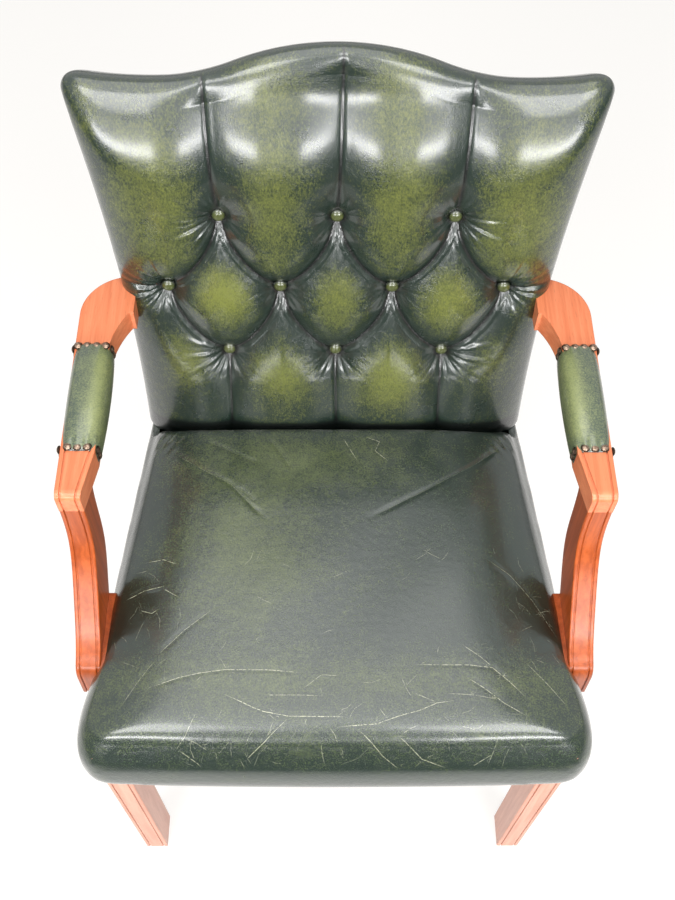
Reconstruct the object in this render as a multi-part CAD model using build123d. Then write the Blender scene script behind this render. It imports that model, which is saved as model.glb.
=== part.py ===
from build123d import *
import os
from math import cos, radians, sin, tan

# A buttoned leather armchair on a beech seat frame, with show-wood legs, arms and arm supports.
# Millimetres. +X is the sitter's left, as seen from the front it is the right; the chair faces -Y; +Z is up.
# While the pieces are made, Y is counted from the front faces of the front legs and Z from the floor.
# Before export all pieces are moved together, so that the origin is at the middle of the footprint.

# Seat frame and legs
leg_spread = 539.0
front_leg_width = 30.0
front_leg_depth = 42.0
seat_underside = 378.0
rail_height = 62.0
rail_thickness = 26.0
rear_frame_width = 468.0
post_width = 26.0
post_depth = 40.0
rear_foot_depth = 36.0
rear_leg_rake = 82.0
edge_round = 1.5

# Seat upholstery
junction_depth = 425.0
seat_stuffing = 26.0
seat_widest_rise = 60.0
seat_crown = 14.0
side_stuffing_front = 17.0
side_stuffing_rear = 6.0
seat_overhang = 24.0
seat_front_bow = 8.0
seat_corner_radius = 29.0
front_tuck = 12.0
side_tuck_front = 13.0
side_tuck_rear = 1.5
edge_roll = 20.0
crown_run = 150.0
leather = 1.5

# Back upholstery, in the plane of the back
recline = 10.6
back_height = 494.0
back_foot_margin = 12.0
back_waist_margin = 20.5
back_ear_margin = 47.5
back_waist_height = 235.0
ear_drop = 46.0
ear_round = 15.0
dip_drop = 36.0
shoulder_drop = 19.0
rise_drop = 30.0
back_edge_roll = 30.0
post_setback = 18.0
top_rail_depth = 62.0
lower_rail_depth = 52.0

# Buttons and pleats of the back
button_pitch = 130.0
button_row_pitch = 97.0
lowest_row_height = 117.0
button_diameter = 16.0
button_height = 6.0
button_sink = 6.0
dimple_gap = 1.5
pleat_depth = 16.0
pleat_half_width = 46.0
pleat_bulge = 3.0
pleat_end_depth = 5.0

# Arms and arm supports
arm_rise = 196.0
arm_thickness = 30.0
arm_overhang = 25.5
arm_width = 39.0
arm_front_width = 26.5
arm_toe_in = 3.0
arm_front = 205.0
arm_end_run = 5.0
arm_throat_run = 4.5
arm_bend_setback = 24.0
arm_nose_radius = 9.0
support_foot_reach = 31.5
support_foot_gap = 0.5
support_foot_front = 97.0
support_foot_depth = 84.0
support_top_depth = 50.0
support_bottom_gap = 4.0
bead_width = 4.5
groove_width = 1.8
groove_depth = 1.4

# Arm pads and nails
pad_length = 144.5
pad_setback = 44.0
pad_crown = 10.0
pad_hem = 2.0
nail_diameter = 10.0
nail_dome = 3.2
nail_shank = 2.0
nail_length = 5.0
nail_pitch = 10.25
front_nail_count = 3
rear_nail_count = 4
side_nail_count = 2

# Webbing, cloth, dowels and screws
web_width = 50.0
web_thickness = 1.2
cloth = 0.8
cloth_margin = 4.0
seat_web_count = 5
seat_cross_web_count = 4
back_web_count = 3
back_cross_web_count = 3
dowel_diameter = 8.0
dowel_length = 44.0
side_dowel_pitch = 44.0
cross_dowel_pitch = 25.0
arm_dowel_diameter = 8.0
arm_dowel_length = 34.0
arm_dowel_pitch = 22.0
glue_gap = 0.05
block_leg = 62.0
block_height = 28.0
block_screw_pitch = 10.0
support_screw_pitch = 30.0
screw_diameter = 4.5
screw_length = 46.0
support_screw_length = 44.0
arm_screw_length = 70.0
screw_head_diameter = 9.0
screw_head = 3.0
screw_gap = 0.1
tie_diameter = 2.0
tie_gap = 0.2
fit_gap = 0.3
overrun = 30.0

# Shares of the back's width: the outer and inner ends of the dip, the rise and the shoulder of the hump
crest_shares = (0.769, 0.604, 0.4835, 0.366)
# Shares of a roll's height and of its inset, from the lower edge up to the widest line
lower_roll_shares = ((0.0, 1.0), (0.3, 0.42), (0.65, 0.1), (1.0, 0.0))
# The same from the widest line up to the edge of the seat's top
upper_roll_shares = ((0.5, 0.12), (0.82, 0.42), (1.0, 1.0))
# The same from the edge of the seat's top to its crown
crown_shares = ((0.45, 0.2), (0.75, 0.42), (0.93, 0.72), (1.0, 1.0))
# Shares of the back's thickness and of its edge roll, from its face to its rear edge
back_roll_shares = ((0.0, 1.0), (0.045, 0.56), (0.14, 0.22), (0.28, 0.05),
                    (0.45, 0.0), (0.65, 0.03), (0.8, 0.13), (0.92, 0.29), (1.0, 0.48))
# Shares of the arm pad's length and of its crown
pad_shares = ((0.12, 0.1), (0.22, 0.62), (0.36, 0.93), (0.5, 1.0), (0.64, 0.93), (0.78, 0.62), (0.88, 0.1))
# Shares of the arm support's height, from its top, and of its forward sweep
support_front_shares = ((0.0, 0.0), (0.29, 0.075), (0.52, 0.42), (0.72, 0.86), (0.83, 1.0))
support_rear_shares = ((0.0, 0.0), (0.24, 0.14), (0.5, 0.27), (0.69, 0.66), (0.84, 1.0))

# Worked out from the sizes above
rail_top = seat_underside + rail_height
seat_base = rail_top + 2 * web_thickness + cloth
seat_edge_height = rail_top + seat_stuffing
seat_widest_height = seat_underside + seat_widest_rise
half_spread = leg_spread / 2
half_rear_frame = rear_frame_width / 2
seat_front_width = leg_spread + 2 * side_stuffing_front
seat_rear_width = rear_frame_width + 2 * side_stuffing_rear
slope = tan(radians(recline))
back_frame_depth = post_setback + post_depth
back_thickness = back_frame_depth + cloth + 2 * web_thickness + leather + fit_gap
back_foot_width = rear_frame_width + 2 * back_foot_margin
back_waist_width = rear_frame_width + 2 * back_waist_margin
back_ear_width = rear_frame_width + 2 * back_ear_margin
back_ear_height = back_height - ear_drop
ear_top_width = back_ear_width - 2 * ear_round
ear_top_height = back_ear_height + ear_round
dimple_depth = pleat_depth + button_sink
dimple_diameter = button_diameter + 2 * dimple_gap
post_front = junction_depth + post_setback - (seat_edge_height - rail_top) * slope
post_rear = post_front + post_depth
arm_top = seat_edge_height + arm_rise
arm_bottom = arm_top - arm_thickness
arm_outer_rear = half_spread + arm_overhang
arm_outer_front = arm_outer_rear - arm_toe_in
arm_inner = arm_outer_rear - arm_width
arm_front_inner = arm_outer_front - arm_front_width
arm_bend_centre = junction_depth + arm_bend_setback
support_foot_outer = half_spread + support_foot_reach
support_foot_inner = half_spread + support_foot_gap
pad_rear = arm_bend_centre - pad_setback
pad_front = pad_rear - pad_length
back_place = Location((0, junction_depth, seat_edge_height), (-recline, 0, 0))
row_heights = [lowest_row_height + row * button_row_pitch for row in range(3)]
rear_rail_front = post_front
post_inner = half_rear_frame - post_width


def back_point(depth, height):
    """Return the (Y, Z) place of a point of the back, given behind its face and along its slope."""
    turn = radians(recline)
    return (junction_depth + depth * cos(turn) + height * sin(turn),
            seat_edge_height + height * cos(turn) - depth * sin(turn))


def block(x_range, y_range, z_range):
    """Return a box between two corners."""
    size = [high - low for low, high in (x_range, y_range, z_range)]
    corner = (x_range[0], y_range[0], z_range[0])
    return Pos(*corner) * Box(*size, align=(Align.MIN, Align.MIN, Align.MIN))


def rod(start, direction, diameter, length):
    """Return a round rod that leaves a point in a direction."""
    cylinder = Cylinder(diameter / 2, length, align=(Align.CENTER, Align.CENTER, Align.MIN))
    return Plane(origin=start, z_dir=direction) * cylinder


def plate(points, bottom, top):
    """Return a plate of constant thickness with the given plan."""
    return extrude(Pos(0, 0, bottom) * Polygon(*points, align=None), top - bottom, dir=(0, 0, 1))


def both(piece):
    """Return a piece and its mirror image on the other side of the chair."""
    return [piece, mirror(piece, about=Plane.YZ)]


def solids_of(pieces):
    """Return the separate solids of a shape or of a list of shapes."""
    if isinstance(pieces, (list, tuple)):
        return [solid for piece in pieces for solid in solids_of(piece)]
    return list(pieces.solids())


# Seat frame

def frame_edge(y):
    """Return the half width of the seat frame at a distance from its front."""
    run = (y - front_leg_depth) / (post_front - front_leg_depth)
    return half_spread + (half_rear_frame - half_spread) * min(max(run, 0), 1)


def frame_plan(margin=0.0):
    """Return the corners of the seat frame's outline, moved in by a margin."""
    right = [(half_spread - margin, margin), (half_spread - margin, front_leg_depth),
             (half_rear_frame - margin, post_front), (half_rear_frame - margin, post_rear - margin)]
    left = [(-x, y) for x, y in reversed(right)]
    return right + left


def side_rail():
    """Return the right side rail, between the front leg and the rear post."""
    outer = [(half_spread, front_leg_depth), (half_rear_frame, post_front)]
    inner = [(x - rail_thickness, y) for x, y in reversed(outer)]
    return plate(outer + inner, seat_underside, rail_top)


def front_rail():
    """Return the front rail, between the front legs."""
    reach = half_spread - front_leg_width
    return block((-reach, reach), (0, rail_thickness), (seat_underside, rail_top))


def rear_rail():
    """Return the rear rail, between the rear posts."""
    depth = (rear_rail_front, rear_rail_front + rail_thickness)
    return block((-post_inner, post_inner), depth, (seat_underside, rail_top))


def front_leg():
    """Return the right front leg, with a quirk groove inside each front edge."""
    inner = half_spread - front_leg_width
    leg = block((inner, half_spread), (0, front_leg_depth), (0, rail_top))
    leg = fillet(leg.edges().filter_by(Axis.Z).group_by(Axis.Y)[0], edge_round)
    for start in (inner + bead_width, half_spread - bead_width - groove_width):
        leg -= block((start, start + groove_width), (-overrun, groove_depth), (-overrun, seat_underside))
    return leg


def rear_post():
    """Return the right rear leg and back upright, cut from one board."""
    top = post_top_height()
    outline = [back_point(post_setback, top), (post_front, rail_top), (post_front, seat_underside),
               (post_rear + rear_leg_rake - rear_foot_depth, 0), (post_rear + rear_leg_rake, 0),
               (post_rear, seat_underside), (post_rear, rail_top), back_point(post_setback + post_depth, top)]
    board = extrude(Plane.YZ.offset(post_inner) * Polygon(*outline, align=None), post_width, dir=(1, 0, 0))
    leg_edges = board.edges().filter_by(lambda edge: edge.center().Z < seat_underside and
                                        edge.length > seat_underside)
    return fillet(leg_edges, edge_round)


def corner_block(front):
    """Return the right corner block of the front or the rear of the seat frame."""
    middle = seat_underside + rail_height / 2
    heights = (middle - block_height / 2, middle + block_height / 2)
    if front:
        inner = half_spread - front_leg_width
        far = front_leg_depth + block_leg * 3 / 4
        points = [(inner, rail_thickness), (inner, front_leg_depth),
                  (half_spread - rail_thickness, front_leg_depth),
                  (frame_edge(far) - rail_thickness, far), (inner - block_leg, rail_thickness)]
    else:
        near = rear_rail_front - block_leg
        points = [(frame_edge(near) - rail_thickness, near),
                  (half_rear_frame - rail_thickness, rear_rail_front),
                  (post_inner - block_leg, rear_rail_front)]
    return plate(points, *heights)


# Dowels and screws

def dowel_pair(joint, direction, pitch):
    """Return two dowels centred on a joint, one above the other."""
    pieces = []
    for side in (-1, 1):
        middle = Vector(*joint) + Vector(0, 0, side * pitch / 2)
        start = middle - Vector(*direction) * (dowel_length / 2)
        pieces.append((start, direction))
    return pieces


def seat_dowel_places():
    """Return the start and direction of each dowel of the right half of the seat frame."""
    middle = seat_underside + rail_height / 2
    centre = rail_thickness / 2
    places = dowel_pair((half_spread - front_leg_width, centre, middle), (1, 0, 0), cross_dowel_pitch)
    places += dowel_pair((half_spread - centre, front_leg_depth, middle), (0, 1, 0), side_dowel_pitch)
    places += dowel_pair((half_rear_frame - centre, post_front, middle), (0, 1, 0), side_dowel_pitch)
    places += dowel_pair((post_inner, rear_rail_front + centre, middle), (1, 0, 0), cross_dowel_pitch)
    return places


def seat_dowels(gap=0.0):
    """Return the seat frame's dowels, or their holes when given a gap."""
    size = dowel_diameter + 2 * gap
    right = [rod(start, direction, size, dowel_length) for start, direction in seat_dowel_places()]
    return [piece for dowel in right for piece in both(dowel)]


def post_top_height():
    """Return how high the posts reach along the back."""
    return ear_top_height - top_rail_depth


def back_dowels(gap=0.0):
    """Return the dowels of the back frame, or their holes when given a gap."""
    size = dowel_diameter + 2 * gap
    centre = back_frame_depth - rail_thickness / 2
    across = half_rear_frame - post_width / 2
    drop = dowel_length / 2
    upright = rod((across, centre, post_top_height() - drop), (0, 0, 1), size, dowel_length)
    level = lower_rail_height() + lower_rail_depth / 2
    side = rod((post_inner - drop, centre, level), (1, 0, 0), size, dowel_length)
    return [back_place * piece for dowel in (upright, side) for piece in both(dowel)]


def screw(start, direction, length, gap=0.0):
    """Return a round-head screw whose head lies at a point, or its counterbored hole."""
    shank_diameter = screw_diameter + 2 * gap
    head_diameter = screw_head_diameter + 2 * gap
    rise = overrun if gap else 0.0
    away = Vector(*direction).normalized()
    head = rod(Vector(*start) - away * rise, direction, head_diameter, screw_head + rise)
    return head + rod(start, direction, shank_diameter, length + gap)


def block_screws(gap=0.0):
    """Return two screws through each corner block, or their holes."""
    middle = seat_underside + rail_height / 2
    pieces = []
    for front in (True, False):
        corner = half_spread - front_leg_width if front else half_rear_frame - rail_thickness
        wall = front_leg_depth if front else rear_rail_front
        towards = Vector(1, -1, 0).normalized() if front else Vector(1, 1, 0).normalized()
        start = Vector(corner, wall, middle) - towards * (screw_length * 2 / 3)
        for side in (-1, 1):
            place = start + Vector(0, 0, side * block_screw_pitch / 2)
            pieces += both(screw(place, towards, screw_length, gap))
    return pieces


def support_screws(gap=0.0):
    """Return the screws that hold the arm supports to the side rails, or their holes."""
    pieces = []
    middle = support_foot_front + support_foot_depth / 2
    for step in range(2):
        y = middle + (step - 1 / 2) * support_screw_pitch
        level = seat_underside + rail_height * (step + 1) / 3
        start = (frame_edge(y) - rail_thickness + screw_head / 2, y, level)
        pieces += both(screw(start, (1, 0, 0), support_screw_length, gap))
    return pieces


def arm_screws(gap=0.0):
    """Return the screws through the posts into the arms, or their holes."""
    level = arm_top - arm_thickness / 2
    height = (level - seat_edge_height) / cos(radians(recline)) + back_frame_depth / 2 * slope
    y = back_point(post_setback + post_depth * 2 / 5, height)[0]
    return both(screw((post_inner, y, level), (1, 0, 0), arm_screw_length, gap))


def arm_dowels(gap=0.0):
    """Return the dowels between the arms and their supports, or their holes."""
    pieces = []
    x = (arm_front_inner + arm_outer_front) / 2
    for step in (1, 2):
        start = (x, arm_front + step * arm_dowel_pitch - arm_dowel_diameter,
                 arm_bottom - arm_dowel_length / 2)
        pieces += both(rod(start, (0, 0, 1), arm_dowel_diameter + 2 * gap, arm_dowel_length))
    return pieces


# Back frame

def back_wire(inset):
    """Return the back's outline as a face in its own plane, moved in by an inset."""
    base = -overrun - rail_height / 2
    foot = back_foot_width / 2 - inset
    waist = back_waist_width / 2 - inset
    ear = back_ear_width / 2 - inset
    ear_top = ear_top_width / 2 - inset
    crest = back_height - inset
    right_side = ThreePointArc((foot, base), (waist, back_waist_height), (ear, crest - ear_drop))
    bulge = ear_round * 2 / 3
    ear_end = (ear_top, ear_top_height - inset)
    right_ear = ThreePointArc(right_side @ 1, (ear_top + bulge, crest - ear_drop + bulge), ear_end)
    dip_outer, dip_inner, rise, shoulder = [share * back_ear_width / 2 for share in crest_shares]
    dip_end = (dip_inner, crest - dip_drop)
    right_dip = ThreePointArc(ear_end, (dip_outer, crest - dip_drop), dip_end)
    right_rise = ThreePointArc(dip_end, (rise, crest - rise_drop), (shoulder, crest - shoulder_drop))
    hump = ThreePointArc(right_rise @ 1, (0, crest), (-shoulder, crest - shoulder_drop))
    right = [right_side, right_ear, right_dip, right_rise]
    left = [mirror(edge, about=Plane.YZ) for edge in right]
    foot_line = Line((-foot, base), (foot, base))
    return make_face(Curve() + right + [hump] + left + [foot_line])


def back_section(depth, inset):
    """Return the back's outline at a depth behind its face."""
    return Plane(origin=(0, depth, 0), x_dir=(1, 0, 0), z_dir=(0, -1, 0)) * back_wire(inset)


def back_slab(front, rear, inset):
    """Return a plate with the back's outline, before the back is leaned."""
    return extrude(back_section(front, inset), rear - front, dir=(0, 1, 0))


def lower_rail_height():
    """Return how high the back's lower rail starts along the back."""
    return seat_crown


def top_rail():
    """Return the shaped top rail, which stands on the posts."""
    slab = back_slab(back_frame_depth - rail_thickness, back_frame_depth, post_setback)
    reach = back_ear_width
    bounds = block((-reach, reach), (0, back_thickness), (post_top_height(), back_height))
    return back_place * (slab & bounds)


def lower_rail():
    """Return the back's lower rail, between the posts just above the seat."""
    start = lower_rail_height()
    depths = (back_frame_depth - rail_thickness, back_frame_depth)
    return back_place * block((-post_inner, post_inner), depths, (start, start + lower_rail_depth))


def back_webs(upright):
    """Return the webbing straps of the back, behind its frame."""
    layer = back_frame_depth + cloth + (web_thickness if upright else 0)
    count = back_web_count if upright else back_cross_web_count
    low = lower_rail_height() + rail_thickness / 2
    high = post_top_height() + rail_thickness
    pieces = []
    for step in range(count):
        if upright:
            x = (step - (count - 1) / 2) * button_pitch
            sides = (x - web_width / 2, x + web_width / 2)
            pieces.append(block(sides, (layer, layer + web_thickness), (low, high)))
        else:
            z = row_heights[step]
            reach = half_rear_frame - cloth_margin
            pieces.append(block((-reach, reach), (layer, layer + web_thickness),
                                (z - web_width / 2, z + web_width / 2)))
    return [back_place * piece for piece in pieces]


def back_cloth():
    """Return the hessian stretched behind the back frame."""
    reach = half_rear_frame - cloth_margin
    low = lower_rail_height() + cloth_margin
    high = post_top_height() + rail_thickness
    depths = (back_frame_depth, back_frame_depth + cloth)
    return back_place * block((-reach, reach), depths, (low, high))


# Buttoned form of the back

def button_places():
    """Return the across and up places of the buttons, in rows of three, four and three."""
    places = []
    for row, height in enumerate(row_heights):
        count = 4 if row == 1 else 3
        places += [((step - (count - 1) / 2) * button_pitch, height) for step in range(count)]
    return places


def pleat_lines():
    """Return each pleat as its start and end, with how deep it lies at the end."""
    low, middle, high = row_heights
    half = button_pitch / 2
    lines = []
    for x in (-button_pitch, 0, button_pitch):
        lines.append(((x, high), (x, back_height), pleat_end_depth))
        lines.append(((x, low), (x, -rail_height), pleat_end_depth))
        for outer in (-half, half):
            lines.append(((x, high), (x + outer, middle), pleat_depth))
            lines.append(((x, low), (x + outer, middle), pleat_depth))
    for side in (-1, 1):
        lines.append(((side * 3 * half, middle), (side * back_ear_width / 2, middle), pleat_end_depth))
    return lines


def pleat_cutter(start, end, end_depth, sink):
    """Return the valley between two pillows, with two arcs that meet at its bottom."""
    first = Vector(start[0], pleat_depth + sink, start[1])
    last = Vector(end[0], end_depth + sink, end[1])
    along = (last - first).normalized()
    across = Vector(0, -1, 0).cross(along)
    plane = Plane(origin=first, x_dir=across, z_dir=along)
    w = pleat_half_width
    chord = Vector(w, pleat_depth).length
    tilt = Vector(-pleat_depth, w) * (pleat_bulge / chord)
    right = ThreePointArc((0, 0), (w / 2 + tilt.X, pleat_depth / 2 + tilt.Y), (w, pleat_depth))
    left = mirror(right, about=Plane.YZ)
    top = pleat_depth + overrun
    roof = Polyline((w, pleat_depth), (w, top), (-w, top), (-w, pleat_depth))
    profile = make_face(Curve() + [right, left, roof])
    return extrude(plane * profile, (last - first).length, dir=along)


def back_form(skin):
    """Return the buttoned form of the back, or the form a skin deeper, before the back is leaned."""
    sections = []
    for depth_share, roll_share in back_roll_shares:
        depth = depth_share * back_thickness + (skin if depth_share < 1 / 2 else 0)
        sections.append(back_section(depth, roll_share * back_edge_roll + skin))
    if skin:
        sections.append(back_section(back_thickness + overrun, back_roll_shares[-1][1] * back_edge_roll + skin))
    form = loft(sections, ruled=True)
    cutters = [pleat_cutter(start, end, depth, skin) for start, end, depth in pleat_lines()]
    cutters += [rod((x, dimple_depth + skin, z), (0, -1, 0), dimple_diameter + 2 * skin, overrun * 2)
                for x, z in button_places()]
    return form - cutters


def back_space(gap, floor):
    """Return the room that the back takes above a floor, grown forwards by a gap."""
    reach = back_ear_width
    space = back_place * block((-reach, reach), (-gap, reach), (-reach, 2 * reach))
    return space & block((-reach, reach), (0, 2 * reach), (floor, 2 * reach))


def buttons():
    """Return the leather buttons, seated at the bottom of the dimples, with their shanks."""
    pieces = []
    half = button_diameter / 2
    arc = ThreePointArc((0, button_height), (half * 3 / 4, button_height * 3 / 4), (half, button_height / 4))
    rim = Polyline((half, button_height / 4), (half, 0), (0, 0), (0, button_height))
    dome = revolve(Plane.XZ * make_face(Curve() + [arc, rim]), Axis.Z)
    for x, z in button_places():
        place = Plane(origin=(x, dimple_depth, z), z_dir=(0, -1, 0))
        shank = rod((x, dimple_depth, z), (0, 1, 0), tie_diameter * 2, leather + button_height / 2)
        pieces.append(back_place * (place * dome + shank))
    return pieces


def button_ties(gap=0.0):
    """Return the twine from each button to the hessian, or the holes for twine and shank."""
    pieces = []
    start = dimple_depth + leather + button_height / 2
    for x, z in button_places():
        tie = rod((x, start, z), (0, 1, 0), tie_diameter + 2 * gap, back_frame_depth - start)
        if gap:
            tie += rod((x, dimple_depth - gap, z), (0, 1, 0), tie_diameter * 2 + 2 * gap, start - dimple_depth + gap)
        pieces.append(back_place * tie)
    return pieces


def rear_panel():
    """Return the leather panel that closes the rear of the back."""
    inset = back_roll_shares[-1][1] * back_edge_roll + leather + fit_gap
    front = back_frame_depth + cloth + 2 * web_thickness
    slab = back_place * back_slab(front, front + leather, inset)
    reach = back_ear_width
    return slab & block((-reach, reach), (0, 2 * reach), (seat_base + fit_gap, 2 * reach))


# Arms

def arm_edge(y):
    """Return how far out the arm's outer edge lies at a distance from the seat's front."""
    run = (y - arm_front) / (arm_bend_centre - arm_front)
    return arm_outer_front + (arm_outer_rear - arm_outer_front) * run


def arm_plan():
    """Return the arm's plan: a bend into the back, a straight run and a tapered front."""
    bend_x = half_rear_frame + arm_end_run
    bend_radius = arm_outer_rear - bend_x
    bend_top = arm_bend_centre + bend_radius
    outer_bend = CenterArc((bend_x, arm_bend_centre), bend_radius, 0, 90)
    throat = (half_rear_frame + arm_throat_run, arm_bend_centre + edge_round)
    inner_bend = ThreePointArc(throat, ((throat[0] + arm_inner) / 2 + edge_round, pad_rear + rail_thickness),
                               (arm_inner, pad_rear))
    end = Polyline((bend_x, bend_top), (half_rear_frame, bend_top), (half_rear_frame, throat[1]), throat)
    front = Polyline((arm_inner, pad_rear), (arm_inner, pad_front), (arm_front_inner, arm_front),
                     (arm_outer_front, arm_front), (arm_outer_rear, arm_bend_centre))
    return make_face(Curve() + [outer_bend, end, inner_bend, front])


def arm_body():
    """Return the right arm before its grooves and holes."""
    body = extrude(Pos(0, 0, arm_bottom) * arm_plan(), arm_thickness, dir=(0, 0, 1))
    nose = body.edges().filter_by(Axis.X).group_by(Axis.Y)[0].group_by(Axis.Z)[-1]
    return fillet(nose, arm_nose_radius)


def arm_slot():
    """Return the room that the right arm takes where it passes through the back's cover."""
    plan = offset(arm_plan(), amount=fit_gap)
    return extrude(Pos(0, 0, arm_bottom - fit_gap) * plan, arm_thickness + 2 * fit_gap, dir=(0, 0, 1))


def groove(body, band, shift):
    """Return the part of a band that lies within a groove's depth of the body's front and top."""
    return (body & band) - Pos(*shift) * body


def arm():
    """Return the right arm, grooved along both edges of its front part."""
    body = arm_body()
    shift = (0, groove_depth, -groove_depth)
    rear = pad_front + nail_diameter / 2
    cut = body
    outer = [(arm_edge(y) - bead_width, y) for y in (arm_front - overrun, rear)]
    taper = (arm_front_inner - arm_inner) / (pad_front - arm_front)
    inner = [(arm_inner + (pad_front - y) * taper + bead_width, y) for y in (rear, arm_front - overrun)]
    for line, side in ((outer, -1), (inner, 1)):
        far = [(x + side * groove_width, y) for x, y in reversed(line)]
        cut = cut - groove(body, plate(line + far, arm_bottom - overrun, arm_top + overrun), shift)
    return cut


def support_profile(gap=0.0):
    """Return the arm support's side view, which sweeps forwards to the seat rail, grown by a gap."""
    foot = seat_underside + support_bottom_gap
    drop = arm_bottom - foot
    sweep = arm_front - support_foot_front
    support_rear_top = arm_front + support_top_depth
    rear_sweep = support_rear_top - support_foot_front - support_foot_depth
    front_points = [(arm_front - across * sweep - gap, arm_bottom - down * drop)
                    for down, across in support_front_shares]
    rear_points = [(support_rear_top - across * rear_sweep + gap, arm_bottom - down * drop)
                   for down, across in support_rear_shares]
    front = Spline(*front_points, tangents=((0, -1), (0, -1)))
    rear = Spline(*rear_points)
    bottom = foot - gap
    sides = [Line(front @ 0, rear @ 0),
             Polyline(front @ 1, ((front @ 1).X, bottom), ((rear @ 1).X, bottom), rear @ 1)]
    return make_face(Curve() + [front, rear] + sides)


def support_taper():
    """Return the arm support's front view: it leans out and its foot reaches in to the rail."""
    bottom = seat_underside + support_bottom_gap
    foot_top = seat_base + edge_round * 2
    points = [(arm_front_inner, arm_bottom), (arm_outer_front, arm_bottom), (support_foot_outer, bottom),
              (half_rear_frame, bottom), (half_rear_frame, foot_top), (support_foot_inner, foot_top)]
    return Polygon(*points, align=None)


def support_board(profile, taper):
    """Return the solid with the given side view and front view, against the seat rail."""
    board = extrude(Plane.YZ * profile, support_foot_outer + overrun, dir=(1, 0, 0))
    depth = extrude(Plane.XZ * taper, 2 * arm_front, dir=(0, 1, 0))
    return (board & depth) - plate(frame_plan(), 0, seat_base + overrun)


def support_body():
    """Return the right arm support before its grooves and holes."""
    body = support_board(support_profile(), support_taper())
    long_edges = body.edges().filter_by(GeomType.BSPLINE).filter_by(lambda edge: edge.length > rail_height)
    return fillet(long_edges, edge_round)


def support_slot():
    """Return the room that the right arm support takes where it passes through the seat's cover."""
    return support_board(support_profile(fit_gap), offset(support_taper(), amount=fit_gap))


def arm_support():
    """Return the right arm support, with the arm's two grooves carried down its front."""
    body = support_body()
    bottom = seat_underside + support_bottom_gap
    outer = [(arm_outer_front - bead_width, arm_bottom), (support_foot_outer - bead_width, bottom)]
    inner = [(arm_front_inner + bead_width, arm_bottom), (support_foot_inner + bead_width, bottom)]
    cut = body
    for line, side in ((outer, -1), (inner, 1)):
        far = [(x + side * groove_width, z) for x, z in reversed(line)]
        band = extrude(Plane.XZ * Polygon(*line, *far, align=None), 2 * arm_front, dir=(0, 1, 0))
        cut = cut - groove(body, band, (0, groove_depth, 0))
    return cut


# Arm pads and nails

def pad_section(y, skin, crown, bottom):
    """Return the pad's section across the arm, with a flat or a crowned top."""
    inner = arm_inner - skin
    outer = arm_edge(y) + skin
    side = arm_top + skin
    middle = (inner + outer) / 2
    walls = Polyline((outer, side), (outer, bottom), (inner, bottom), (inner, side))
    top = ThreePointArc((inner, side), (middle, side + crown), (outer, side)) if crown \
        else Line((inner, side), (outer, side))
    return Plane(origin=(0, y, 0), x_dir=(1, 0, 0), z_dir=(0, -1, 0)) * make_face(Curve() + [walls, top])


def pad_stuffing():
    """Return the stuffing on top of the right arm."""
    length = pad_rear - pad_front
    sections = []
    for along, rise in pad_shares:
        y = pad_front + along * length
        sections.append(pad_section(y, 0, rise * pad_crown, arm_top - pad_hem))
    form = loft(sections, ruled=True)
    return form - block((0, leg_spread), (0, leg_spread), (0, arm_top))


def pad_cover():
    """Return the leather of the right pad, over the stuffing and down both sides of the arm."""
    length = pad_rear - pad_front
    sections = [pad_section(pad_front, leather, 0, arm_bottom + pad_hem)]
    for along, rise in pad_shares:
        rise = 0 if along in (pad_shares[0][0], pad_shares[-1][0]) else rise
        y = pad_front + along * length
        sections.append(pad_section(y, leather, rise * pad_crown, arm_bottom + pad_hem))
    sections.append(pad_section(pad_rear, leather, 0, arm_bottom + pad_hem))
    return loft(sections, ruled=True)


def nail_places():
    """Return the place and outward direction of each nail of the right pad."""
    places = []
    half = nail_diameter / 2
    for y, count in ((pad_front + half, front_nail_count), (pad_rear - half, rear_nail_count)):
        middle = (arm_inner + arm_edge(y)) / 2
        for step in range(count):
            x = middle + (step - (count - 1) / 2) * nail_pitch
            places.append(((x, y, arm_top + leather), (0, 0, 1)))
        lean = (arm_outer_rear - arm_outer_front) / (arm_bend_centre - arm_front)
        for step in range(side_nail_count):
            z = arm_top - half - step * nail_pitch
            places.append(((arm_inner - leather, y, z), (-1, 0, 0)))
            places.append(((arm_edge(y) + leather, y, z), Vector(1, -lean, 0).normalized()))
    return places


def nails():
    """Return the domed nails of the right pad."""
    half = nail_diameter / 2
    arc = ThreePointArc((0, nail_dome), (half * 2 / 3, nail_dome * 2 / 3), (half, 0))
    dome = revolve(Plane.XZ * make_face(Curve() + [arc, Polyline((half, 0), (0, 0), (0, nail_dome))]), Axis.Z)
    shank = rod((0, 0, 0), (0, 0, -1), nail_shank, nail_length)
    return [Plane(origin=place, z_dir=out) * (dome + shank) for place, out in nail_places()]


def nail_holes():
    """Return the holes of the right pad's nails."""
    return [rod(Vector(*place) + Vector(*out) * leather, Vector(*out) * -1, nail_shank + 2 * glue_gap,
                nail_length + 2 * leather) for place, out in nail_places()]


# Seat upholstery

def seat_section(height, front_inset, side_front_inset, side_rear_inset, rear):
    """Return the seat's outline at a height, with a bowed front and rounded front corners."""
    r = seat_corner_radius
    front_half = seat_front_width / 2 - side_front_inset
    rear_half = seat_rear_width / 2 - side_rear_inset
    front = -seat_overhang + front_inset
    bend = r * (1 - cos(radians(45)))
    bow = ThreePointArc((r - front_half, front), (0, front - seat_front_bow), (front_half - r, front))
    corner = ThreePointArc((front_half - r, front), (front_half - bend, front + bend), (front_half, front + r))
    side = Line((front_half, front + r), (rear_half, rear))
    others = [mirror(edge, about=Plane.YZ) for edge in (corner, side)]
    end = Line((rear_half, rear), (-rear_half, rear))
    return Pos(0, 0, height) * make_face(Curve() + [bow, corner, side, end] + others)


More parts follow.
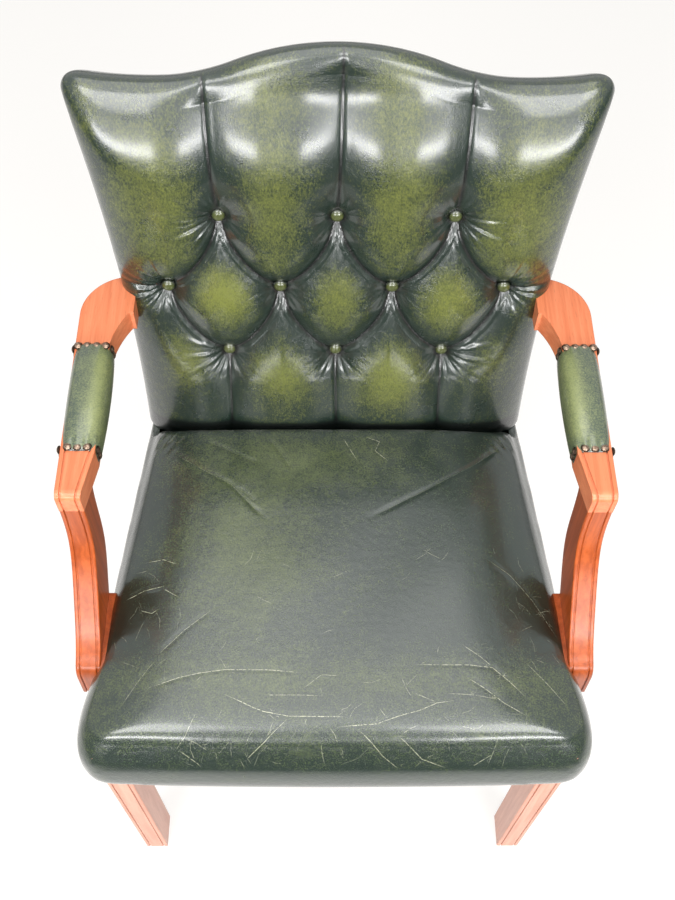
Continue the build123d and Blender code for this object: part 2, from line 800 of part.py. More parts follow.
def seat_form(skin):
    """Return the seat's crowned form, or the form a skin deeper."""
    rear_edge = post_rear + leather * 3 - skin
    rise = seat_widest_height - seat_underside
    sections = []
    if skin:
        sections.append(seat_section(seat_underside - overrun, front_tuck + skin, side_tuck_front + skin,
                                     side_tuck_rear + skin, rear_edge))
    for up, inward in lower_roll_shares:
        sections.append(seat_section(seat_underside + up * rise, inward * front_tuck + skin,
                                     inward * side_tuck_front + skin, inward * side_tuck_rear + skin, rear_edge))
    rise = seat_edge_height - seat_widest_height
    for up, inward in upper_roll_shares:
        inset = inward * edge_roll + skin
        rear = rear_edge - up * (rear_edge - junction_depth)
        sections.append(seat_section(seat_widest_height + up * rise - skin * up, inset, inset, inset, rear))
    for up, inward in crown_shares:
        inset = edge_roll + inward * crown_run + skin
        rear = junction_depth - inward * crown_run
        sections.append(seat_section(seat_edge_height + up * seat_crown - skin, inset, inset, inset, rear))
    return loft(sections, ruled=True)


def seat_webs(across):
    """Return the webbing straps of the seat, from front to rear or from side to side."""
    layer = rail_top + (web_thickness if across else 0)
    count = seat_cross_web_count if across else seat_web_count
    plan = plate(frame_plan(cloth_margin), layer, layer + web_thickness)
    pieces = []
    for step in range(count):
        if across:
            y = rail_thickness + (step + 1 / 2) * (rear_rail_front - rail_thickness) / count
            strap = block((-leg_spread, leg_spread), (y - web_width / 2, y + web_width / 2), (0, seat_base))
        else:
            x = (step - (count - 1) / 2) * (rear_frame_width - 2 * post_width) / count
            strap = block((x - web_width / 2, x + web_width / 2),
                          (cloth_margin, rear_rail_front + rail_thickness - cloth_margin), (0, seat_base))
        pieces.append(plan & strap)
    return pieces


def seat_cloth():
    """Return the hessian over the seat's webbing."""
    plan = plate(frame_plan(cloth_margin), seat_base - cloth, seat_base)
    return plan - block((-leg_spread, leg_spread), (rear_rail_front + rail_thickness, leg_spread), (0, leg_spread))


def dust_cloth():
    """Return the thin cloth under the seat frame, cut out for the legs."""
    cloth_plate = plate(frame_plan(cloth_margin), seat_underside - cloth, seat_underside)
    inner = half_spread - front_leg_width - fit_gap
    corners = [block((inner, leg_spread), (-overrun, front_leg_depth + fit_gap), (0, leg_spread)),
               block((post_inner - fit_gap, leg_spread), (post_front - overrun, leg_spread), (0, leg_spread))]
    for corner in corners:
        for cutter in both(corner):
            cloth_plate = cloth_plate - cutter
    return cloth_plate


# Assembly

def named_pieces():
    """Return every node's name with its pieces."""
    seat_holes = seat_dowels(glue_gap) + block_screws(screw_gap) + support_screws(screw_gap)
    back_holes = back_dowels(glue_gap) + arm_screws(screw_gap)
    arm_holes = arm_dowels(glue_gap) + arm_screws(screw_gap) + nail_holes()
    legs = both(front_leg() - seat_holes)
    rails = both(side_rail() - seat_holes)
    whole_posts = both(rear_post())
    posts = both(rear_post() - seat_holes - back_holes)
    blocks = [both(corner_block(front) - block_screws(screw_gap)) for front in (True, False)]
    right_arm = arm() - arm_holes
    right_support = arm_support() - arm_dowels(glue_gap) - support_screws(screw_gap)
    arms = both(right_arm)
    supports = both(right_support)
    upper_rail = top_rail() - back_holes
    bottom_rail = lower_rail() - back_holes

    arm_slots = both(arm_slot())
    support_slots = both(support_slot())
    form = back_place * back_form(0)
    filling = back_place * back_form(leather)
    room = back_space(0, seat_base + fit_gap)
    back_cover = ((form - filling) & room) - arm_slots - button_ties(tie_gap)
    foam_room = back_place * block((-leg_spread, leg_spread), (0, back_frame_depth), (-leg_spread, 2 * leg_spread))
    frame_slot = whole_posts + [top_rail(), lower_rail()]
    back_foam = (filling & foam_room & room) - frame_slot - arm_slots - button_ties(tie_gap)

    seat = seat_form(0)
    stuffing = seat_form(leather)
    frame_block = plate(frame_plan(), -overrun, seat_base)
    under = block((-leg_spread, leg_spread), (-leg_spread, 2 * leg_spread), (-overrun, seat_underside))
    over_base = back_space(fit_gap, seat_base)
    seat_cover = (seat - stuffing - over_base - whole_posts) - support_slots
    seat_foam = (stuffing - under - over_base - frame_block - whole_posts) - support_slots

    pad = pad_stuffing()
    cover = pad_cover() - pad - arm_body() - nail_holes()
    nodes = {
        "front_rail": front_rail() - seat_holes,
        "rear_rail": rear_rail() - seat_holes,
        "back_top_rail": upper_rail,
        "back_lower_rail": bottom_rail,
        "seat_dowels": seat_dowels(),
        "back_dowels": back_dowels(),
        "arm_dowels": arm_dowels(),
        "corner_block_screws": block_screws(),
        "arm_support_screws": support_screws(),
        "arm_screws": arm_screws(),
        "seat_webbing": seat_webs(False),
        "seat_cross_webbing": seat_webs(True),
        "seat_hessian": seat_cloth() - whole_posts,
        "seat_foam": seat_foam,
        "seat_cover": seat_cover,
        "dust_cloth": dust_cloth(),
        "back_webbing": back_webs(True),
        "back_cross_webbing": back_webs(False),
        "back_hessian": back_cloth(),
        "back_foam": back_foam,
        "back_cover": back_cover,
        "back_rear_panel": rear_panel(),
        "back_buttons": buttons(),
        "button_ties": button_ties(),
    }
    pairs = {
        "front_leg": legs, "side_rail": rails, "rear_leg": posts, "arm": arms, "arm_support": supports,
        "front_corner_block": blocks[0], "rear_corner_block": blocks[1],
        "arm_pad_stuffing": both(pad), "arm_pad_cover": both(cover),
    }
    for name, (right, left) in pairs.items():
        nodes[name + "_right"] = right
        nodes[name + "_left"] = left
    right_nails = nails()
    nodes["arm_nails_right"] = right_nails
    nodes["arm_nails_left"] = [mirror(nail, about=Plane.YZ) for nail in right_nails]
    return nodes


def write_parts():
    """Write each node as its own file, with the origin at the middle of the footprint."""
    nodes = {name: solids_of(pieces) for name, pieces in named_pieces().items()}
    whole = Compound([solid for solids in nodes.values() for solid in solids]).bounding_box()
    shift = Pos(-whole.center().X, -whole.center().Y, -whole.min.Z)
    os.makedirs("parts", exist_ok=True)
    for name, solids in nodes.items():
        export_step(Compound([shift * solid for solid in solids]), f"parts/{name}.step")


write_parts()
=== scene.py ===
from math import cos, pi, radians, sin, tan

import bpy
import numpy as np
from mathutils import Matrix, Vector


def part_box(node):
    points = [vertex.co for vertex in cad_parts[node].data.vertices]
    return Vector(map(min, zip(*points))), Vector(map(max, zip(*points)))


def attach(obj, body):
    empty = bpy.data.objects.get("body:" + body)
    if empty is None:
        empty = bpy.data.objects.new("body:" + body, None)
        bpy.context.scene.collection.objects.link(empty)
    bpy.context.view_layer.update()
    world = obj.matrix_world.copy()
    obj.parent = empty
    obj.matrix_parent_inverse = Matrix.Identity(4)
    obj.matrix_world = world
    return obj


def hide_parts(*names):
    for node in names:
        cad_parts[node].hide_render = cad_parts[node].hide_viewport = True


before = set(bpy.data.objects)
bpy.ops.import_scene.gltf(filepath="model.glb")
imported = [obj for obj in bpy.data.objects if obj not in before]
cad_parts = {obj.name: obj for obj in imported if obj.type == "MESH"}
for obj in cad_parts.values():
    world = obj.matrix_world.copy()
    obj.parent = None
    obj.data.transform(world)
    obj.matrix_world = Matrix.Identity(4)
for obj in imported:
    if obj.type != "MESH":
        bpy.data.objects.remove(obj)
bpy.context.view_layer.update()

# Metres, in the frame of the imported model: the chair faces -Y and stands on the floor at Z = 0. Tables of
# shapes and distances from the front of the legs are in millimetres, which MM turns into metres.
MM = 0.001
LEG_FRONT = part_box("front_leg_right")[0][1]

# Where the face of the back meets the seat: behind the front of the legs and above the floor
MEET_DEPTH, MEET_HEIGHT = 425, 466

# The back's own frame: X across, depth behind its face, height up along its slope from that meeting
JUNCTION = (LEG_FRONT + MEET_DEPTH * MM, MEET_HEIGHT * MM)
RECLINE = radians(10.6)
CREST = 496 * MM

# Ten buttons in a diamond pattern, in rows of three, four and three
BUTTON_PITCH = 130 * MM
ROWS = (117 * MM, 214 * MM, 311 * MM)
THREE, FOUR = (-1, 0, 1), (-1.5, -0.5, 0.5, 1.5)
BUTTONS = [(x * BUTTON_PITCH, height) for height, row in zip(ROWS, (THREE, FOUR, THREE)) for x in row]


# Materials

def tone(code):
    """Return the linear colour of an sRGB hex value."""
    values = [int(code[i:i + 2], 16) / 255 for i in (0, 2, 4)]
    return [v / 12.92 if v <= 0.04045 else ((v + 0.055) / 1.055) ** 2.4 for v in values] + [1.0]


def add(tree, kind, links=None, **settings):
    """Add a shader node with its settings; links maps its inputs to sockets or to plain values."""
    node = tree.nodes.new(kind)
    for name, value in settings.items():
        setattr(node, name, value)
    for name, value in (links or {}).items():
        if isinstance(value, bpy.types.NodeSocket):
            tree.links.new(value, node.inputs[name])
        else:
            node.inputs[name].default_value = value
    return node


def new_material(name):
    """Return an empty material, its node tree and the place of a shaded point in its piece."""
    material = bpy.data.materials.new(name)
    material.use_nodes = True
    tree = material.node_tree
    tree.nodes.clear()
    return material, tree, add(tree, "ShaderNodeTexCoord").outputs["Object"]


def shaded(material, shader):
    """Put a shader on a material and return the material."""
    tree = material.node_tree
    output = tree.nodes.new("ShaderNodeOutputMaterial")
    tree.links.new(shader.outputs[0], output.inputs[0])
    return material


def blend(tree, share, first, second):
    """Return the colour between two colours."""
    return add(tree, "ShaderNodeMix", {0: share, 6: first, 7: second}, data_type="RGBA").outputs[2]


def steps(tree, value, low, high):
    """Return a value moved from the range low to high into 0 to 1, with soft ends."""
    node = add(tree, "ShaderNodeMapRange", {0: value, 1: low, 2: high}, interpolation_type="SMOOTHSTEP")
    return node.outputs[0]


def maths(tree, operation, first, second=0.0):
    """Return the result of one sum."""
    return add(tree, "ShaderNodeMath", {0: first, 1: second}, operation=operation).outputs[0]


def speckle(tree, place, size, detail, rough, stretch=None):
    """Return noise whose grains have a size in metres, stretched if asked."""
    if stretch:
        place = add(tree, "ShaderNodeMapping", {"Vector": place, "Scale": stretch}).outputs[0]
    node = add(tree, "ShaderNodeTexNoise", {
        "Vector": place, "Scale": 1 / size, "Detail": detail, "Roughness": rough})
    return node.outputs["Fac"]


# Near black for painted shade in folds and hollows, and the colour of the bare hide in cracks
PAINTED_SHADE_BLACK = tone("070C0A")
BARE_HIDE = tone("C6C5A8")


def leather(name, dark, rubbed, grain, gloss, streak=(1, 1, 1)):
    """Full-grain upholstery hide, dyed dark green, hand rubbed to olive and waxed.

    The attribute rub is 1 where the dye is rubbed thin; painted shade, near black, lies where a second
    attribute is 1, in the bottom of a fold and in other hollows; a third is 1 along a crack where the bare hide
    shows, and faintly along some wrinkles as a painted highlight; and across is the distance from that crack in
    millimetres.
    Grain is how strong the relief is, gloss how rough the wax is, and streak stretches flecks and relief."""
    material, tree, place = new_material(name)
    rub, painted_shade, scar_and_highlight, across = [add(tree, "ShaderNodeAttribute", attribute_name=kind).outputs["Fac"]
                                 for kind in ("rub", "painted_shade", "scar_and_highlight", "across")]

    # The dye is rubbed thin in clouds, mottles and flecks
    cloud = speckle(tree, place, 48 * MM, 4.0, 0.62)
    mottle = speckle(tree, place, 11 * MM, 4.0, 0.65)
    flecks = speckle(tree, place, 1.9 * MM, 3.0, 0.75, streak)
    patches = rub
    for layer, share in ((cloud, 0.6), (mottle, 0.6), (flecks, 1.9)):
        swing = maths(tree, "MULTIPLY", maths(tree, "SUBTRACT", layer, 0.5), share)
        patches = maths(tree, "ADD", patches, swing)
    olive = add(tree, "ShaderNodeMapRange", {0: patches, 1: 0.1, 2: 1.1}).outputs[0]
    colour = blend(tree, olive, dark, rubbed)
    # Painted shade, near black, in the bottom of folds and in other hollows
    colour = blend(tree, steps(tree, painted_shade, 0.1, 0.8), colour, PAINTED_SHADE_BLACK)

    # Cracks are thin, broken lines of bare hide
    broken = steps(tree, speckle(tree, place, 2.6 * MM, 3.0, 0.7), 0.36, 0.56)
    thin = maths(tree, "SUBTRACT", 1.0, steps(tree, maths(tree, "ABSOLUTE", across), 0.05, 0.48))
    crack = maths(tree, "MULTIPLY", maths(tree, "MULTIPLY", scar_and_highlight, thin), broken)
    colour = blend(tree, crack, colour, BARE_HIDE)

    # The surface is pebbled, finely grained and slightly rippled
    pebble = add(tree, "ShaderNodeTexVoronoi", {"Vector": place, "Scale": 1 / (1.7 * MM)}).outputs["Distance"]
    fine = speckle(tree, place, 1.0 * MM, 2.0, 0.5, streak)
    ripple = speckle(tree, place, 8 * MM, 2.0, 0.5, streak)
    height = maths(tree, "ADD", maths(tree, "MULTIPLY", pebble, 0.6), fine)
    height = maths(tree, "ADD", height, maths(tree, "MULTIPLY", ripple, 2.4))
    hide = add(tree, "ShaderNodeBump", {"Strength": grain, "Distance": 0.35 * MM, "Height": height})
    rough = add(tree, "ShaderNodeMapRange", {0: cloud, 3: gloss, 4: gloss + 0.14}).outputs[0]
    return shaded(material, add(tree, "ShaderNodeBsdfPrincipled", {
        "Base Color": colour, "Roughness": rough, "IOR": 1.5, "Normal": hide.outputs[0],
        "Coat Weight": 0.9, "Coat Roughness": 0.18}))


def grained(tree, place, along, width, length, noise):
    """Return noise drawn out along one axis of the wood; its grains have a width and a length in metres."""
    scale = [1.0 / width] * 3
    scale[along] = 1.0 / length
    stretched = add(tree, "ShaderNodeMapping", {"Vector": place, "Scale": scale}).outputs[0]
    return add(tree, "ShaderNodeTexNoise", {"Vector": stretched, "Scale": 1.0, **noise}).outputs["Fac"]


def stained_wood(name, along, pale, deep, gloss=0.36):
    """Close-grained hardwood with a reddish stain and satin lacquer; along is the axis of its grain."""
    material, tree, place = new_material(name)
    bands = grained(tree, place, along, 7 * MM, 160 * MM,
                    {"Detail": 5.0, "Roughness": 0.62, "Distortion": 0.4})
    pores = grained(tree, place, along, 0.9 * MM, 14 * MM, {"Detail": 2.0})
    colour = blend(tree, steps(tree, bands, 0.3, 0.72), deep, pale)
    colour = blend(tree, maths(tree, "MULTIPLY", steps(tree, pores, 0.6, 0.74), 0.35), colour,
                   [c * 0.45 for c in deep[:3]] + [1.0])
    rounded = add(tree, "ShaderNodeBevel", {"Radius": 1.6 * MM}, samples=6)
    bump = add(tree, "ShaderNodeBump", {"Strength": 0.08, "Distance": 0.2 * MM, "Height": pores,
                                        "Normal": rounded.outputs[0]})
    return shaded(material, add(tree, "ShaderNodeBsdfPrincipled", {
        "Base Color": colour, "Roughness": gloss, "IOR": 1.45, "Normal": bump.outputs[0],
        "Coat Weight": 0.12, "Coat Roughness": 0.15}))


def woven(name, pale, deep, thread):
    """Plain woven cloth or webbing; thread is the spacing of its threads in metres."""
    material, tree, place = new_material(name)
    warp, weft = [add(tree, "ShaderNodeTexWave", {
        "Vector": place, "Scale": 1 / thread / 20 * pi, "Distortion": 0.4}, bands_direction=axis).outputs["Fac"]
        for axis in ("X", "Y")]
    weave = maths(tree, "MULTIPLY", warp, weft)
    slub = speckle(tree, place, 6 * MM, 3.0, 0.6)
    shown = maths(tree, "ADD", maths(tree, "MULTIPLY", weave, 0.5), maths(tree, "MULTIPLY", slub, 0.5))
    colour = blend(tree, shown, deep, pale)
    bump = add(tree, "ShaderNodeBump", {"Strength": 0.4, "Distance": 0.3 * MM, "Height": weave})
    return shaded(material, add(tree, "ShaderNodeBsdfPrincipled", {
        "Base Color": colour, "Roughness": 0.9, "Normal": bump.outputs[0]}))


def foam_rubber(name):
    """Open-cell upholstery foam, cut from a block: pale cream with small pores."""
    material, tree, place = new_material(name)
    cells = add(tree, "ShaderNodeTexVoronoi", {"Vector": place, "Scale": 1 / (1.5 * MM)}).outputs["Distance"]
    colour = blend(tree, cells, tone("B8A271"), tone("E8D9A8"))
    bump = add(tree, "ShaderNodeBump", {"Strength": 0.5, "Distance": 0.4 * MM, "Height": cells})
    return shaded(material, add(tree, "ShaderNodeBsdfPrincipled", {
        "Base Color": colour, "Roughness": 0.95, "Normal": bump.outputs[0]}))


def worn_metal(name, bright, dull, rough):
    """Plated or antiqued metal, with a darker patina where it isn't rubbed.

    A painted shadow ring, kept in an attribute of the piece, darkens the rim of a nail."""
    material, tree, place = new_material(name)
    patina = speckle(tree, place, 2.2 * MM, 4.0, 0.7)
    rim = add(tree, "ShaderNodeAttribute", attribute_name="painted_shade").outputs["Fac"]
    colour = blend(tree, steps(tree, patina, 0.35, 0.7), bright, dull)
    # Painted shadow ring round a nail's rim
    colour = blend(tree, rim, colour, [c * 0.12 for c in dull[:3]] + [1.0])
    return shaded(material, add(tree, "ShaderNodeBsdfPrincipled", {
        "Base Color": colour, "Roughness": rough, "Metallic": 1.0}))


# How strongly the paper and the room's floor glow, and where one fades into the other, in metres
PAPER_GLOW, ROOM_GLOW = 0.76, 0.12
PAPER_ENDS, ROOM_BEGINS = -0.75, -1.5


def white_ground(name):
    """White studio paper: the camera sees it close to white, and it keeps the chair's shadow.

    Reflections see white paper round the chair and the dim floor of the room in front of it."""
    material, tree, place = new_material(name)
    ahead = add(tree, "ShaderNodeSeparateXYZ", {0: place}).outputs[1]
    paper = add(tree, "ShaderNodeBsdfDiffuse", {"Color": tone("E6E5E2")})
    seen = add(tree, "ShaderNodeBsdfDiffuse", {"Color": tone("A09F9D")})
    lift = add(tree, "ShaderNodeEmission", {"Color": tone("FFFDFA"), "Strength": PAPER_GLOW})
    pale = add(tree, "ShaderNodeAddShader", {0: seen.outputs[0], 1: lift.outputs[0]})
    dim = add(tree, "ShaderNodeEmission", {"Color": tone("FFFDFA"), "Strength": ROOM_GLOW})
    ray = add(tree, "ShaderNodeLightPath")
    beyond = maths(tree, "MULTIPLY", steps(tree, ahead, PAPER_ENDS, ROOM_BEGINS), ray.outputs["Is Glossy Ray"])
    pale = add(tree, "ShaderNodeMixShader", {0: beyond, 1: pale.outputs[0], 2: dim.outputs[0]})
    mirrored = maths(tree, "MAXIMUM", ray.outputs["Is Glossy Ray"], ray.outputs["Is Transmission Ray"])
    direct = maths(tree, "MAXIMUM", ray.outputs["Is Camera Ray"], mirrored)
    return shaded(material, add(tree, "ShaderNodeMixShader", {
        0: direct, 1: paper.outputs[0], 2: pale.outputs[0]}))


BACK_HIDE = leather("antiqued_hide_back", tone("16261E"), tone("6F7533"), 0.75, 0.22, (1, 0.6, 0.6))
SEAT_HIDE = leather("antiqued_hide_seat", tone("1B2A23"), tone("66713F"), 0.65, 0.18)
PAD_HIDE = leather("antiqued_hide_arm_pad", tone("35453A"), tone("8C9460"), 0.5, 0.3)
BUTTON_HIDE = leather("antiqued_hide_button", tone("1B2516"), tone("4E5529"), 0.2, 0.22)
PANEL_HIDE = leather("antiqued_hide_rear_panel", tone("1C2A23"), tone("4A5A34"), 0.4, 0.26)

# One stain, and copies of it painted paler with light where the photograph shows it paler: painted glare on the
# front legs and painted light on the level arms
WOOD_UP = stained_wood("stained_hardwood_upright", 2, tone("C65F28"), tone("A24614"))
WOOD_LEG_LIT = stained_wood("stained_hardwood_leg_lit", 2, tone("DDA086"), tone("C9856A"))
WOOD_LEVEL_LIT = stained_wood("stained_hardwood_level_lit", 1, tone("ED8F63"), tone("DA774C"))
BEECH_ACROSS = stained_wood("unfinished_beech_across", 0, tone("D9B98A"), tone("B98F5C"), 0.7)
BEECH_LEVEL = stained_wood("unfinished_beech_level", 1, tone("D9B98A"), tone("B98F5C"), 0.7)
JUTE = woven("jute_webbing", tone("B79A66"), tone("7A6038"), 2.4 * MM)
HESSIAN = woven("woven_hessian", tone("C3A877"), tone("8A6F45"), 1.6 * MM)
LINING = woven("black_lining_cloth", tone("1E1E20"), tone("0B0B0C"), 0.9 * MM)
FOAM = foam_rubber("upholstery_foam")
NAIL_BRASS = worn_metal("antiqued_brass_nail", tone("A99280"), tone("5A4638"), 0.34)
SCREW_STEEL = worn_metal("zinc_plated_steel", tone("C9CCD0"), tone("8F9398"), 0.4)


# Making and shaping of meshes

def new_piece(name, points, faces, material, slot=None):
    """Return a smooth mesh piece that rides on the chair."""
    mesh = bpy.data.meshes.new(name)
    mesh.from_pydata([tuple(point) for point in points], [], [tuple(face) for face in faces])
    mesh.materials.append(material)
    mesh.shade_smooth()
    piece = bpy.data.objects.new(name, mesh)
    bpy.context.scene.collection.objects.link(piece)
    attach(piece, "root")
    return piece


def lofted(rings):
    """Return the points and faces of a closed skin over rings that have the same number of points."""
    count = len(rings[0])
    last = (len(rings) - 1) * count
    points = [point for ring in rings for point in ring]
    faces = []
    for start in range(0, last, count):
        for i in range(count):
            j = (i + 1) % count
            faces.append((start + i, start + j, start + count + j, start + count + i))
    faces.append(tuple(range(count))[::-1])
    faces.append(tuple(range(last, last + count)))
    return points, faces


def settle(piece):
    """Replace a piece's mesh by what its modifiers make of it."""
    graph = bpy.context.evaluated_depsgraph_get()
    graph.update()
    made = bpy.data.meshes.new_from_object(piece.evaluated_get(graph))
    old = piece.data
    piece.modifiers.clear()
    piece.data = made
    bpy.data.meshes.remove(old)
    made.shade_smooth()


def remake(piece, size, relax):
    """Give a piece an even skin of small squares and relax it."""
    remesh = piece.modifiers.new("even_skin", "REMESH")
    remesh.mode = "VOXEL"
    remesh.voxel_size = size
    remesh.use_smooth_shade = True
    smooth = piece.modifiers.new("relax", "SMOOTH")
    smooth.factor = 0.5
    smooth.iterations = relax
    settle(piece)


def divide(piece, levels):
    """Divide the squares of a piece's skin."""
    finer = piece.modifiers.new("divide", "SUBSURF")
    finer.levels = finer.render_levels = levels
    settle(piece)


SWELL_FRAMES = 20


def puff(piece, held, cap, rounds=8):
    """Let a piece swell like a leather skin round its stuffing: a cloth simulation with pressure inside,
    held still at some points, in which no point moves further than the cap."""
    start = points_of(piece)
    group = piece.vertex_groups.new(name="held")
    group.add([int(i) for i in np.nonzero(held)[0]], 1.0, "REPLACE")
    skin = piece.modifiers.new("skin", "CLOTH")
    skin.settings.quality = 6
    skin.settings.vertex_group_mass = "held"
    skin.settings.use_pressure = True
    skin.settings.uniform_pressure_force = 4.0
    skin.settings.bending_stiffness = 1.5
    skin.settings.effector_weights.gravity = 0
    skin.point_cache.frame_start, skin.point_cache.frame_end = 1, SWELL_FRAMES
    for moment in range(1, SWELL_FRAMES + 1):
        bpy.context.scene.frame_set(moment)
    settle(piece)
    bpy.context.scene.frame_set(1)
    piece.vertex_groups.clear()
    moved = points_of(piece) - start
    far = np.linalg.norm(moved, axis=1)
    moved = moved * np.minimum(1, cap / np.maximum(far, 1e-9))[:, None]
    put_points(piece, start + evened(piece, moved, rounds))


def evened(piece, moved, rounds):
    """Spread a movement evenly over neighbouring points."""
    pairs = np.empty(len(piece.data.edges) * 2, dtype=np.int64)
    piece.data.edges.foreach_get("vertices", pairs)
    first, second = pairs[::2], pairs[1::2]
    count = np.bincount(pairs, minlength=len(moved))[:, None]
    for _ in range(rounds):
        total = np.zeros_like(moved)
        np.add.at(total, first, moved[second])
        np.add.at(total, second, moved[first])
        moved = (moved + total / count) / 2
    return moved


def points_of(piece):
    """Return a piece's points as rows of three numbers."""
    flat = np.empty(len(piece.data.vertices) * 3)
    piece.data.vertices.foreach_get("co", flat)
    return flat.reshape(-1, 3)


def normals_of(piece):
    """Return the outward directions at a piece's points."""
    flat = np.empty(len(piece.data.vertices) * 3)
    piece.data.vertex_normals.foreach_get("vector", flat)
    return flat.reshape(-1, 3)


def put_points(piece, points):
    """Move a piece's points to the given places."""
    piece.data.vertices.foreach_set("co", np.ascontiguousarray(points).ravel())
    piece.data.update()


def put_values(piece, name, values):
    """Store one number per point for the materials."""
    layer = piece.data.attributes.get(name) or piece.data.attributes.new(name, "FLOAT", "POINT")
    layer.data.foreach_set("value", np.ascontiguousarray(values, dtype=np.float32))


def soft_step(values, low, high):
    """Return 0 below low, 1 above high and a smooth run between."""
    share = np.clip((values - low) / (high - low), 0, 1)
    return share * share * (3 - 2 * share)


def bell(values, middle, width):
    """Return 1 at the middle, fading away on both sides of it."""
    return np.exp(-((values - middle) / width) ** 2)


def arc(first, middle, last, count):
    """Return points on the arc through three points, without its last point."""
    (ax, ay), (bx, by), (cx, cy) = first, middle, last
    d = 2 * (ax * (by - cy) + bx * (cy - ay) + cx * (ay - by))
    ux = ((ax**2 + ay**2) * (by - cy) + (bx**2 + by**2) * (cy - ay) + (cx**2 + cy**2) * (ay - by)) / d
    uy = ((ax**2 + ay**2) * (cx - bx) + (bx**2 + by**2) * (ax - cx) + (cx**2 + cy**2) * (bx - ax)) / d
    radius = np.hypot(ax - ux, ay - uy)
    angles = np.unwrap([np.arctan2(y - uy, x - ux) for x, y in (first, middle, last)])
    turns = np.linspace(angles[0], angles[2], count, endpoint=False)
    return [(ux + radius * cos(a), uy + radius * sin(a)) for a in turns]


def curve(first, pull, last):
    """Return ten points on a simple curve that is pulled towards a middle point."""
    t = np.linspace(0, 1, 10)[:, None]
    return (1 - t) ** 2 * np.array(first) + 2 * t * (1 - t) * np.array(pull) + t ** 2 * np.array(last)


def reach_of(line, places):
    """Return for each place how far it is from a line, on which side, and how far along the line it is."""
    best = np.full(len(places), 1e9)
    side = np.zeros(len(places))
    along = np.zeros(len(places))
    runs = np.linalg.norm(np.diff(line, axis=0), axis=1)
    total = runs.sum()
    gone = 0.0
    for start, end, run in zip(line[:-1], line[1:], runs):
        step = (end - start) / run
        rel = places - start
        t = np.clip(rel @ step, 0, run)
        off = rel - t[:, None] * step
        gap = np.linalg.norm(off, axis=1)
        closer = gap < best
        best[closer] = gap[closer]
        turn = step[0] * rel[:, 1] - step[1] * rel[:, 0]
        side[closer] = np.sign(turn[closer])
        along[closer] = (gone + t[closer]) / total
        gone += run
    return best, side, along


# Buttoned back

def in_room(points):
    """Turn places in the back's own frame (across, depth, height) into the room's frame."""
    x, depth, height = points[:, 0], points[:, 1], points[:, 2]
    return np.column_stack([x, JUNCTION[0] + depth * cos(RECLINE) + height * sin(RECLINE),
                            JUNCTION[1] + height * cos(RECLINE) - depth * sin(RECLINE)])


# How many points the outline has from the foot up to the ear
SIDE_POINTS = 60


def back_outline(inset, low=-24 * MM):
    """Return the outline of the back, from its foot on the right round its crest to its foot on the left."""
    foot, waist, ear, ear_top = [v * MM - inset for v in (246, 254.5, 281.5, 266.5)]
    crest = CREST - inset
    ear_height = crest - 46 * MM
    bulge = 10 * MM
    ear_end = (ear_top, ear_height + 15 * MM)
    dip_end = (170 * MM, crest - 36 * MM)
    hump_start, hump_end = [(x * MM, crest - 19 * MM) for x in (103, -103)]
    side = arc((foot, low), (waist, 235 * MM), (ear, ear_height), SIDE_POINTS)
    corner = arc((ear, ear_height), (ear_top + bulge, ear_height + bulge), ear_end, 10)
    dip = arc(ear_end, (216.5 * MM, crest - 36 * MM), dip_end, 14)
    rise = arc(dip_end, (136 * MM, crest - 30 * MM), hump_start, 12)
    hump = arc(hump_start, (0, crest), hump_end, 30)
    right = side + corner + dip + rise
    left = [(-x, h) for x, h in right[:0:-1]]
    return right + hump + [hump_end] + left + [(-foot, low)]


def in_back_frame(outline, depth):
    """Return an outline as points at a depth in the back's own frame."""
    return [(x, depth, h) for x, h in outline]


# How the back's edge is rolled: a depth behind its face, then how far the outline is drawn in there
BACK_ROLL = ((0, 30), (0.7, 22.5), (2.8, 15.5), (6.5, 8.6), (11, 4.4), (17.6, 1.5), (28, 0), (35, 0), (41, 0.6),
             (46, 1.4), (50.4, 2.5), (54.5, 4.2), (58, 6.4), (61, 9.4), (62.7, 13))


def fold_lines():
    """Return the folds of the back, each as its line, the depths along it, how wide its valley is above and
    below it, how sharp it is along its run, and the side of the line that lies above it, which is 0 for an
    upright fold."""
    low, middle, high = ROWS
    half = BUTTON_PITCH / 2
    folds = []
    for x, lean in ((-BUTTON_PITCH, -8 * MM), (0, 5 * MM), (BUTTON_PITCH, 8 * MM)):
        # Upright folds, from the top row to the crest and from the bottom row to the seat
        folds.append((curve((x, high), (x + lean * 0.8, high + 60 * MM), (x + lean, CREST + 5 * MM)),
                      (20, 13, 10, 8, 5), (58, 58), (1, 1, 1, 1, 1), 0))
        folds.append((curve((x, low), (x, low / 2), (x + lean / 2, -20 * MM)),
                      (18, 10, 8, 7, 6), (46, 46), (1, 0.9, 0.8, 0.9, 1), 0))

        # Slanting folds of the diamonds
        for out in (-half, half):
            above = 1 if out > 0 else -1
            folds.append((curve((x, high), (x + out * 0.22, high - 62 * MM), (x + out, middle)),
                          (20, 16, 15, 16, 20), (38, 62), (0.8, 1, 1, 1, 0.9), above))
            folds.append((curve((x + out, middle), (x + out * 0.78, middle - 62 * MM), (x, low)),
                          (20, 16, 15, 15, 19), (38, 62), (0.8, 1, 1, 1, 0.9), -above))

    # Shallow folds, from the outer buttons to the edges
    for side in (-1, 1):
        folds.append((curve((side * 1.5 * BUTTON_PITCH, middle), (side * 225 * MM, middle + 4 * MM),
                            (side * 266 * MM, middle + 10 * MM)),
                      (19, 11, 8, 6, 5), (34, 44), (0.8, 0.5, 0.4, 0.3, 0.2), side))
    return folds


# Distances from a fold's line: its groove, the ridge beside it, and the second groove beside a slanting fold
GROOVE_WIDE, RIDGE_AT, RIDGE_WIDE, SECOND_AT, SECOND_WIDE = 1.6, 5.2, 2.4, 9.0, 1.6


